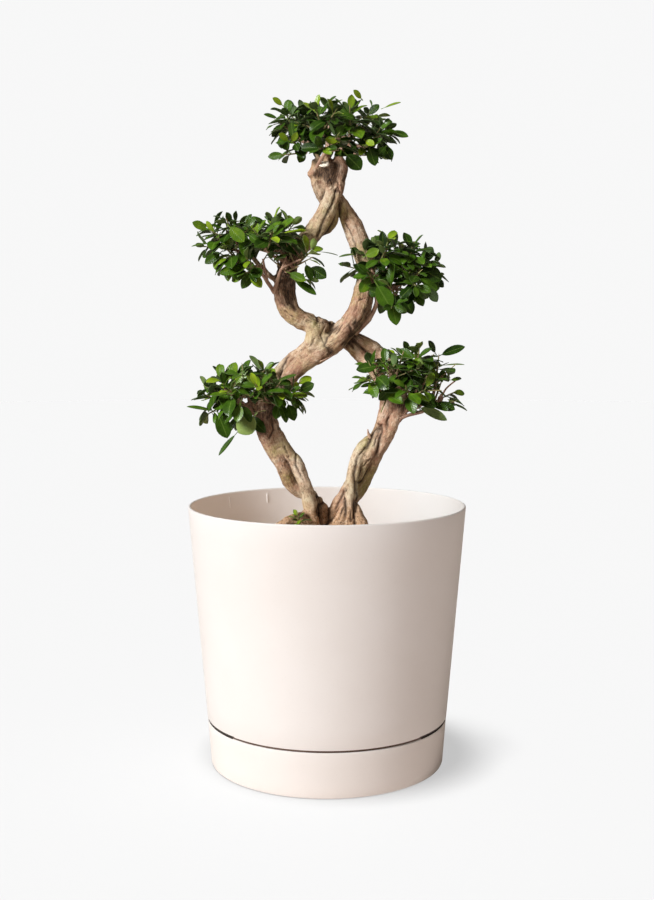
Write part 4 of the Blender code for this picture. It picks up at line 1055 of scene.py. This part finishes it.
def make_trunk(material):
    """All the wood fused into one skin, with relief, creases, cracks and its colours in attributes, which
    carry painted shade and painted light as well.
    """
    paths = [smooth_path(points) for points in (STEMS | ROOTS).values()]
    paths += [smooth_path(((*foot, radius), (*end, radius)), 0.003) for foot, end, radius in STUBS]
    paths += [smooth_path(points) for points in FILLS]
    for pad in PADS.values():
        paths += [smooth_path(points) for points in branch_paths(pad)]
    fused = add_object("trunk_wood", joined("trunk_wood", [tube(path) for path in paths]))
    remesh = fused.modifiers.new("Fuse", "REMESH")
    remesh.mode = "VOXEL"
    remesh.voxel_size = TRUNK_VOXEL
    smooth = fused.modifiers.new("Soften", "SMOOTH")
    smooth.factor = 0.5
    smooth.iterations = 8
    mesh = applied(fused)

    cores = [Core(points) for points in (STEMS | ROOTS).values()]
    cut_centre, cut_normal = map(Vector, CUT_FACE[:2])
    cut_radius = CUT_FACE[2]
    moved, core_points, crease_and_crack_shades, darks, pinks, olives, pales, cuts = ([] for _ in range(8))
    for vert in mesh.vertices:
        found = sorted((core.nearest(vert.co) for core in cores), key=lambda pair: pair[0])
        (margin, core), (second, _) = found[:2]
        relief, crease = bark_relief(vert, margin, second, core)
        crease *= 1 - fused_share(vert.co, vert.normal)
        relief -= CREASE_DEPTH * crease
        dark, pink, olive, pale = patch_shares(vert.co, vert.normal)
        crack = crack_share(vert.co, vert.normal)
        off_cut = vert.co - cut_centre
        cut = off_cut.length < cut_radius * 1.02 and vert.normal.dot(cut_normal) > 0.72
        out = 0 if cut else relief - HOLLOW_DEPTH * dark - CRACK_DEPTH * crack
        moved.append(vert.co + vert.normal * out)
        core_points.append(core)
        # painted shade in the creases and cracks, for the bark's colour
        crease_and_crack_shades.append(max(crease, crack))
        darks.append(0.0 if cut else dark)
        pinks.append(pink)
        olives.append(olive)
        pales.append(pale)
        cuts.append(float(cut))
    for vert, place in zip(mesh.vertices, moved):
        vert.co = place
    write_attribute(mesh, "core", "FLOAT_VECTOR", core_points)
    looks = {"crease": crease_and_crack_shades, "dark": darks, "pink": pinks, "olive": olives, "pale": pales, "cut": cuts}
    for name, values in looks.items():
        write_attribute(mesh, name, "FLOAT", values)
    mesh.shade_smooth()
    return piece(add_object("trunk_wood", mesh, material), "bark", "trunk")


def make_twigs(material):
    """The knotted twigs of every pad, and the few that show at the front."""
    meshes = []
    paths = list(FRONT_TWIGS)
    for pad in PADS.values():
        paths += twig_paths(pad)
    for points in paths:
        path = smooth_path(points)
        knots = [(*p.xyz, p.w * (1 + 0.22 * noise.noise(p.xyz * 160))) for p in path]
        meshes.append(tube(knots, 2))
    mesh = joined("twigs", meshes)
    mesh.shade_smooth()
    return piece(add_object("twigs", mesh, material), "bark")


# ---------------------------------------------------------------- leaves


# A proxy leaf's outline, as shares of its length, half width and length: along, across and up
PROXY_OUTLINE = (
    (0, 0, 0), (0.36, -0.84, 0.05), (0.70, -0.94, 0.03),
    (1, 0, -0.10), (0.70, 0.94, 0.03), (0.36, 0.84, 0.05),
)
PROXY_FACES = tuple((i, (i + 1) % 6, 6) for i in range(6)) + tuple(((i + 1) % 6, i, 7) for i in range(6))
PROXY_THICKNESS = 0.0004


def proxy(foot, direction, face, length, width, grow=0.0):
    """A coarse leaf of eight points, for finding out whether two leaves cross."""
    side = direction.cross(face).normalized()
    up = side.cross(direction).normalized()
    half = width / 2 + grow
    thick = PROXY_THICKNESS + grow
    points = [foot + direction * a * length + side * b * half + up * c * length for a, b, c in PROXY_OUTLINE]
    middle = foot + direction * 0.55 * length - up * 0.02 * length
    return BVHTree.FromPolygons([*points, middle + up * thick, middle - up * thick], PROXY_FACES)


class Foliage:
    """Collects leaf blades into one mesh, with each point's place on its leaf and its leaf's tone."""

    def __init__(self):
        self.points = []
        self.faces = []
        self.along = []
        self.across = []
        self.tone = []

    def add_leaf(self, foot, direction, face, length, width, tone, arch=0.5, fold=0.30, wave=0.0, twist=0.0):
        side = direction.cross(face).normalized()
        up = side.cross(direction).normalized()
        petiole = length * PETIOLE
        blade = length - petiole
        rows = [(-1.0, 0.0007), *[(v, share * width / 2) for v, share in BLADE]]
        place = foot.copy()
        last = -petiole
        start = len(self.points)
        for v, half in rows:
            reach = -petiole if v < 0 else v * blade
            bend = -arch * max(0.0, v) ** 1.2
            ahead = Matrix.Rotation(bend, 3, side) @ direction
            above = Matrix.Rotation(bend, 3, side) @ up
            place = place + ahead * (reach - last)
            last = reach
            roll = Matrix.Rotation(twist * max(0.0, v), 3, ahead)
            for j in ACROSS:
                rise = half * (fold * abs(j) - 0.42 * fold * j * j)
                ripple = wave * abs(j) * math.sin(v * 9 + (2.0 if j > 0 else 0.0))
                self.points.append(place + roll @ (side * half * j + above * (rise + ripple)))
                self.along.append(max(0.0, v))
                self.across.append(j if v > 0 else 0.0)
                self.tone.append(tone)
        count = len(ACROSS)
        for row in range(len(rows) - 1):
            for k in range(count - 1):
                a = start + row * count + k
                self.faces.append((a, a + 1, a + count + 1, a + count))

    def mesh(self, name):
        """The blades as one mesh of open sheets."""
        mesh = bpy.data.meshes.new(name)
        mesh.from_pydata(self.points, [], self.faces)
        for key in ("along", "across", "tone"):
            write_attribute(mesh, key, "FLOAT", getattr(self, key))
        return mesh


def on_front_plane(place):
    """Where the camera sees a place: its x and z on the plane y = 0."""
    reach = CAMERA_PLACE[1] / (CAMERA_PLACE[1] - place.y)
    return Vector((place.x * reach, CAMERA_PLACE[2] + (place.z - CAMERA_PLACE[2]) * reach))


def seen_at(x, z, depth):
    """The place with y = depth that the camera sees at x, z on the plane y = 0."""
    reach = (CAMERA_PLACE[1] - depth) / CAMERA_PLACE[1]
    return Vector((x * reach, depth, CAMERA_PLACE[2] + (z - CAMERA_PLACE[2]) * reach))


def hides_front(base, direction, length, clearings):
    """Whether a leaf would lie in front of a clearing."""
    spots = [base + direction * length * share for share in (0.35, 0.6, 0.85)]
    seen = [(on_front_plane(spot), spot.y) for spot in spots]
    return any(
        y < depth and (spot - Vector((x, z))).length < reach
        for spot, y in seen
        for x, z, reach, depth in clearings
    )


def front_leaves(blades, leaves, standing):
    """Places the leaves that stand out at the front, and returns the clearings that keep them in view."""
    clearings = [(*spot, CLEARING_DEPTH) for spot in CLEARINGS]
    for foot_x, foot_z, tip_x, tip_z, depth, facing, width, tone in leaves:
        foot = seen_at(foot_x, foot_z, depth + FRONT_LEAF_LEAN)
        tip = seen_at(tip_x, tip_z, depth)
        direction = (tip - foot).normalized()
        length = (tip - foot).length
        face = Vector((FRONT_LEAF_TURN, -facing, 1 - abs(facing)))
        blades.add_leaf(foot, direction, face, length, length * width, tone, arch=0.12, fold=0.22)
        standing.append((foot, proxy(foot, direction, face, length, length * width)))
        clearings.append(((foot_x + 2 * tip_x) / 3, (foot_z + 2 * tip_z) / 3, 0.25 * length, depth - 0.002))
    return clearings


def grow_leaves(
    blades, foot, axis, length, count, leaf_length, chance, standing,
    vigour=0.9, lowest=0.0, tone=0.0, share=1.0, clearings=(),
):
    """Leaves in a spiral round a stem, large and low ones first. Each keeps clear of what is standing."""
    across = axis.orthogonal().normalized()
    start = chance.uniform(0, math.tau)
    own = []
    for i in range(count):
        if chance.random() > share:
            continue
        height = i / (count - 1)
        size = leaf_length * (1.0 - 0.45 * height**1.5) * chance.uniform(0.84, 1.06)
        base = foot + axis * length * (0.15 + 0.80 * height)
        for attempt in range(LEAF_TRIES):
            spread = 0.08 + 0.016 * attempt
            turn = start + i * LEAF_TURN + chance.uniform(-spread, spread) * 2.4
            lift = math.radians(-4 + 62 * height**1.2) + chance.uniform(-spread, spread)
            radial = Matrix.Rotation(turn, 3, axis) @ across
            direction = (math.cos(lift) * radial + math.sin(lift) * axis - 0.08 * UP).normalized()
            face = axis + 0.8 * UP + 0.50 * Vector([chance.uniform(-1, 1) for _ in range(3)])
            scale = size * (1 - 0.009 * attempt)
            shape = (direction, face, scale, scale * LEAF_WIDTH)
            near = [tree for centre, tree in standing if (centre - base).length < 0.085]
            wide = proxy(base, *shape, grow=LEAF_CLEARANCE)
            outer = proxy(base + direction * 0.25 * scale, direction, face, 0.75 * scale, shape[3])
            if hides_front(base, direction, scale, clearings) or (base + direction * scale).z < lowest:
                continue
            if any(wide.overlap(tree) for tree in near) or any(outer.overlap(tree) for tree in own):
                continue
            young = max(0.0, height - 0.45) * 1.1
            pale = tone + 0.02 + 0.56 * chance.random() ** 1.5 + vigour * young
            pale += 0.25 * (chance.random() < 0.06)
            width = scale * LEAF_WIDTH * chance.uniform(0.90, 1.14)
            blades.add_leaf(
                base, direction, face, scale, width, max(0.0, min(1.0, pale)),
                arch=chance.uniform(0.0, 0.65), fold=chance.uniform(0.15, 0.60),
                wave=chance.uniform(0.0, 0.0007), twist=chance.uniform(-0.35, 0.35),
            )
            own.append(proxy(base, *shape))
            break
    standing += [(foot, tree) for tree in own]


def shoot_stem(foot, axis, length, radius):
    """A green stem that ends in a slim pointed bud."""
    top = foot + axis * length
    path = [(*foot, radius), (*(foot + axis * length * 0.6), radius * 0.85), (*top, radius * 0.6)]
    path += [(*(top + axis * 0.003), radius * 0.62), (*(top + axis * 0.0085), radius * 0.08)]
    return tube(path, 2)


def make_shoot(name, blades, stem, materials, slot, *nodes):
    """The blades as thin closed shells, paler underneath, with the green stems that carry them."""
    leaf_top, leaf_under, green_stem = materials
    leaves = add_object(name, blades.mesh(name), leaf_top, leaf_under, green_stem)
    shell = leaves.modifiers.new("Thickness", "SOLIDIFY")
    shell.thickness = LEAF_THICKNESS
    shell.offset = -1
    shell.material_offset = 1
    shell.material_offset_rim = 1
    bm = bmesh.new()
    bm.from_mesh(applied(leaves))
    if stem:
        stem.materials.clear()
        for _ in range(3):
            stem.materials.append(green_stem)
        for polygon in stem.polygons:
            polygon.material_index = 2
        bm.from_mesh(stem)
    mesh = new_mesh(name, bm)
    for material in (leaf_top, leaf_under, green_stem):
        mesh.materials.append(material)
    mesh.shade_smooth()
    mesh.set_sharp_from_angle(angle=math.radians(60))
    return piece(add_object(name, mesh), slot, *nodes)


def make_foliage(materials, trunk):
    """The pads: the leaves that stand out at the front, then every shoot with its side shoots."""
    chance = random.Random(SEED)
    wood = trunk.data
    skin = BVHTree.FromPolygons([v.co for v in wood.vertices], [tuple(p.vertices) for p in wood.polygons])
    made = []
    plans = []
    standing = []
    clearings = []
    for pad_name, pad in PADS.items():
        blades = Foliage()
        clearings += front_leaves(blades, FRONT_LEAVES[pad_name], standing)
        made.append(make_shoot(f"{pad_name}_front_leaves", blades, None, materials, "foliage"))
        for index, (number, *rosette) in enumerate(pad["shoots"], start=1):
            rosette = Vector(rosette)
            axis = shoot_axis(Vector(pad["forks"][number]), rosette)
            foot = rosette - axis * SHOOT_LENGTH
            plans.append((f"{pad_name}_{{}}_{index:02d}", foot, axis, HABITS[pad_name]))
    standing += [(Vector(foot), skin) for _, foot, *_ in plans]
    for name, foot, axis, habit in plans:
        across = axis.orthogonal().normalized()
        blades = Foliage()
        habit = habit | {"vigour": chance.choice((0.1, 0.3, 0.5, 1.0)), "clearings": clearings}
        growth = (SHOOT_LENGTH, LEAVES_PER_SHOOT, LEAF_LENGTH)
        grow_leaves(blades, foot, axis, *growth, chance, standing, **habit)
        stems = [shoot_stem(foot, axis, SHOOT_LENGTH, SHOOT_RADIUS)]
        turn = chance.uniform(0, math.tau)
        for side in range(SIDE_SHOOTS):
            out = Matrix.Rotation(turn + math.tau * side / SIDE_SHOOTS, 3, axis) @ across
            side_axis = (out + chance.uniform(0.35, 0.8) * UP + 0.3 * axis).normalized()
            start = foot - 0.35 * SHOOT_LENGTH * axis
            side_foot = start + side_axis * SIDE_REACH * chance.uniform(0.7, 1.1)
            side_habit = habit | {"vigour": habit["vigour"] * chance.random()}
            growth = (SIDE_LENGTH, SIDE_LEAVES, LEAF_LENGTH * SIDE_SIZE)
            grow_leaves(blades, side_foot, side_axis, *growth, chance, standing, **side_habit)
            stems.append(tube([(*start, SHOOT_RADIUS * 0.8), (*side_foot, SIDE_RADIUS)], 1))
            stems.append(shoot_stem(side_foot, side_axis, SIDE_LENGTH, SIDE_RADIUS))
        stem = joined(name.format("stems"), stems)
        node = name.format("shoot")
        made.append(make_shoot(name.format("leaves"), blades, stem, materials, "foliage", node))
    return made


def make_sprout(materials):
    """The little sprig at the left foot of the trunk, its leaves sized from the height of its CAD node."""
    low, high = (Vector(corner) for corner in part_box("base_sprout"))
    rise = SPROUT_TIP - SPROUT_FOOT
    axis = rise.normalized()
    growth = (rise.length, SPROUT_LEAVES, (high - low).z * SPROUT_LEAF_SHARE)
    blades = Foliage()
    grow_leaves(blades, SPROUT_FOOT, axis, *growth, random.Random(SEED), [], tone=0.2)
    stem = shoot_stem(SPROUT_FOOT, axis, rise.length, SHOOT_RADIUS * 0.6)
    make_shoot("sprout_leaves", blades, stem, materials, "foliage", "base_sprout")


# ---------------------------------------------------------------- studio


CAMERA_PLACE = (0.0, -1.70, 0.597)
CAMERA_PITCH = 5.53  # degrees below the horizontal
CAMERA_LENS = 49.84  # mm, on a 36 mm high picture
STAGE_RADIUS = 9.0
INSIDE_BOUNCE_PLACE = (0.125, -0.070, 0.338)
INSIDE_BOUNCE_AIM = (-1.0, 0.02, -0.05)
INSIDE_BOUNCE_SIZE = 0.10
INSIDE_BOUNCE_POWER = 0.31
INSIDE_BOUNCE_COLOUR = (1.0, 0.70, 0.50)
PALE_PINK = (0.98, 0.90, 0.93)
PALE_BLUE = (0.76, 0.94, 1.0)
PALE_AMBER = (1.0, 0.93, 0.85)
# Where each sun stands, in degrees from straight in front (below 0 towards the left) and above the floor,
# how strong it is and how wide, in degrees
SUNS = {
    "tree_key": {"turn": -50.0, "height": 33.0, "strength": 5.4, "width": 20.0},
    "wood_key": {"turn": -50.0, "height": 23.0, "strength": 4.5, "width": 20.0},
    "planter_key": {"turn": -52.0, "height": 36.0, "strength": 2.94, "width": 22.0},
    "planter_fill": {"turn": -8.0, "height": 6.0, "strength": 0.56, "width": 40, "colour": PALE_PINK},
    "planter_side": {"turn": -92.0, "height": 10.0, "strength": 0.38, "width": 40, "colour": PALE_BLUE},
    "wood_fill": {"turn": -14.0, "height": 6.0, "strength": 0.40, "width": 40, "colour": PALE_AMBER},
    "floor_light": {"turn": -44.0, "height": 82.8, "strength": 6.8, "width": 12.0},
}
WORLD_COLOUR = (1.0, 0.85, 0.73)
WORLD_STRENGTH = 0.17
BOUNCE_COLOUR = (0.56, 0.48, 0.43)
BACKGROUND = 0.935
FLOOR_ALBEDO = 0.18


def sun(name):
    """A sun as SUNS has it."""
    plan = SUNS[name]
    light = bpy.data.lights.new(name, "SUN")
    light.energy = plan["strength"]
    light.color = plan.get("colour", (1, 1, 1))
    light.angle = math.radians(plan["width"])
    obj = bpy.data.objects.new(name, light)
    bpy.context.scene.collection.objects.link(obj)
    obj.rotation_euler = (math.radians(90 - plan["height"]), 0, math.radians(plan["turn"]))
    return obj


def inside_bounce():
    """The warm light that the pot's bright right wall throws on its left wall."""
    light = bpy.data.lights.new("inside_bounce", "AREA")
    light.energy = INSIDE_BOUNCE_POWER
    light.color = INSIDE_BOUNCE_COLOUR
    light.size = INSIDE_BOUNCE_SIZE
    obj = bpy.data.objects.new("inside_bounce", light)
    bpy.context.scene.collection.objects.link(obj)
    obj.location = INSIDE_BOUNCE_PLACE
    obj.rotation_euler = Vector(INSIDE_BOUNCE_AIM).to_track_quat("-Z", "Y").to_euler()
    return obj


def only_camera_sees(obj):
    obj.visible_diffuse = False
    obj.visible_glossy = False
    obj.visible_transmission = False
    obj.visible_shadow = False


def stage_disc(name, z, material):
    bm = bmesh.new()
    place = Matrix.Translation((0, 0, z))
    bmesh.ops.create_circle(bm, cap_ends=True, segments=96, radius=STAGE_RADIUS, matrix=place)
    disc = add_object(name, new_mesh(name, bm), material)
    return disc


def plain_material(name, colour, glow=0.0, glow_colour=(1, 1, 1)):
    s = Shader(name)
    return s.finish(
        Base_Color=(*colour, 1), Roughness=1.0, Specular_IOR_Level=0.0,
        Emission_Color=(*glow_colour, 1), Emission_Strength=glow,
    )


def make_studio():
    """The camera, warm light all round, and a pale floor and backdrop of one brightness."""
    scene = bpy.context.scene
    camera = bpy.data.objects.new("camera", bpy.data.cameras.new("camera"))
    scene.collection.objects.link(camera)
    camera.location = CAMERA_PLACE
    camera.rotation_euler = (math.radians(90 - CAMERA_PITCH), 0, 0)
    camera.data.lens = CAMERA_LENS
    camera.data.sensor_width = 36
    scene.camera = camera
    scene.view_settings.view_transform = "Standard"

    world = bpy.data.worlds.new("fill")
    scene.world = world
    world.use_nodes = True
    sky = world.node_tree.nodes["Background"]
    sky.inputs["Color"].default_value = (*WORLD_COLOUR, 1)
    sky.inputs["Strength"].default_value = WORLD_STRENGTH

    bounce = stage_disc("floor_bounce", -0.0015, plain_material("floor_bounce", BOUNCE_COLOUR))
    bounce.visible_camera = False
    floor_light = SUNS["floor_light"]
    floor_light_share = floor_light["strength"] * math.sin(math.radians(floor_light["height"])) / math.pi
    lit = [FLOOR_ALBEDO * (floor_light_share + WORLD_STRENGTH * c) for c in WORLD_COLOUR]
    glow = [BACKGROUND - part for part in lit]
    seen = plain_material("floor", (FLOOR_ALBEDO,) * 3, 1.0, glow)
    floor = stage_disc("floor", -0.0005, seen)
    only_camera_sees(floor)

    bm = bmesh.new()
    bmesh.ops.create_uvsphere(bm, u_segments=64, v_segments=32, radius=STAGE_RADIUS)
    glowing = plain_material("backdrop", (0, 0, 0), BACKGROUND)
    backdrop = add_object("backdrop", new_mesh("backdrop", bm), glowing)
    only_camera_sees(backdrop)
    return floor


def light_only(light, pieces, shadows=True):
    """The light reaches these pieces alone and, where shadows is off, nothing else casts one on them."""
    for key in ("receiver_collection",) if shadows else ("receiver_collection", "blocker_collection"):
        setattr(light.light_linking, key, linked(f"{light.name}_{key}", pieces, "INCLUDE"))


def linked(name, pieces, state):
    collection = bpy.data.collections.new(name)
    for obj in pieces:
        collection.objects.link(obj)
    for entry in collection.collection_objects:
        entry.light_linking.link_state = state
    return collection


def make_lights(floor, planter_pieces, wood, crown_leaves):
    """Keys from the left and fills, each for its own things: the tree, its wood, the planter or the floor."""
    key = sun("tree_key")
    others = [floor, *planter_pieces, *wood]
    key.light_linking.receiver_collection = linked("tree_key_receivers", others, "EXCLUDE")
    key = sun("wood_key")
    light_only(key, wood)
    key.light_linking.blocker_collection = linked("wood_key_blockers", crown_leaves, "EXCLUDE")
    light_only(sun("planter_key"), planter_pieces, shadows=False)
    light_only(inside_bounce(), planter_pieces, shadows=False)
    light_only(sun("planter_fill"), planter_pieces, shadows=False)
    light_only(sun("planter_side"), planter_pieces, shadows=False)
    light_only(sun("wood_fill"), wood)
    light_only(sun("floor_light"), [floor])


# ---------------------------------------------------------------- build


floor = make_studio()
planter = planter_material("planter", (0.862, 0.845, 0.826), (0.84, 0.815, 0.79))
saucer = planter_material("saucer", (0.86, 0.83, 0.80), (0.83, 0.795, 0.76))
# dark materials that paint the shade in the seam and inside the saucer: brownish in the middle, near black at
# the sides
painted_seam_shades = [
    planter_material("planter_painted_seam_shade", (0.150, 0.095, 0.075), (0.105, 0.070, 0.055)),
    planter_material("planter_painted_seam_side_shade", (0.035, 0.026, 0.021), (0.024, 0.019, 0.016)),
]
planter_pieces = [*make_pot(planter, painted_seam_shades), make_saucer(saucer, painted_seam_shades)]
make_soil(soil_material(), chip_material())
trunk = make_trunk(bark_material())
twigs = make_twigs(twig_material())
leaf_materials = (
    leaf_material(
        "leaf_top", (0.008, 0.027, 0.002), (0.052, 0.122, 0.006), (0.280, 0.400, 0.014), (0.15, 0.24, 0.04),
        rough=0.29, shine=0.30,
    ),
    leaf_material(
        "leaf_under", (0.030, 0.062, 0.014), (0.100, 0.165, 0.056), (0.27, 0.37, 0.09), (0.19, 0.27, 0.10),
        rough=0.55, shine=0.22,
    ),
    green_stem_material(),
)
foliage = make_foliage(leaf_materials, trunk)
make_sprout(leaf_materials)
crown_leaves = [leaves for leaves in foliage if leaves.name.startswith("crown")]
make_lights(floor, planter_pieces, [trunk, twigs], crown_leaves)
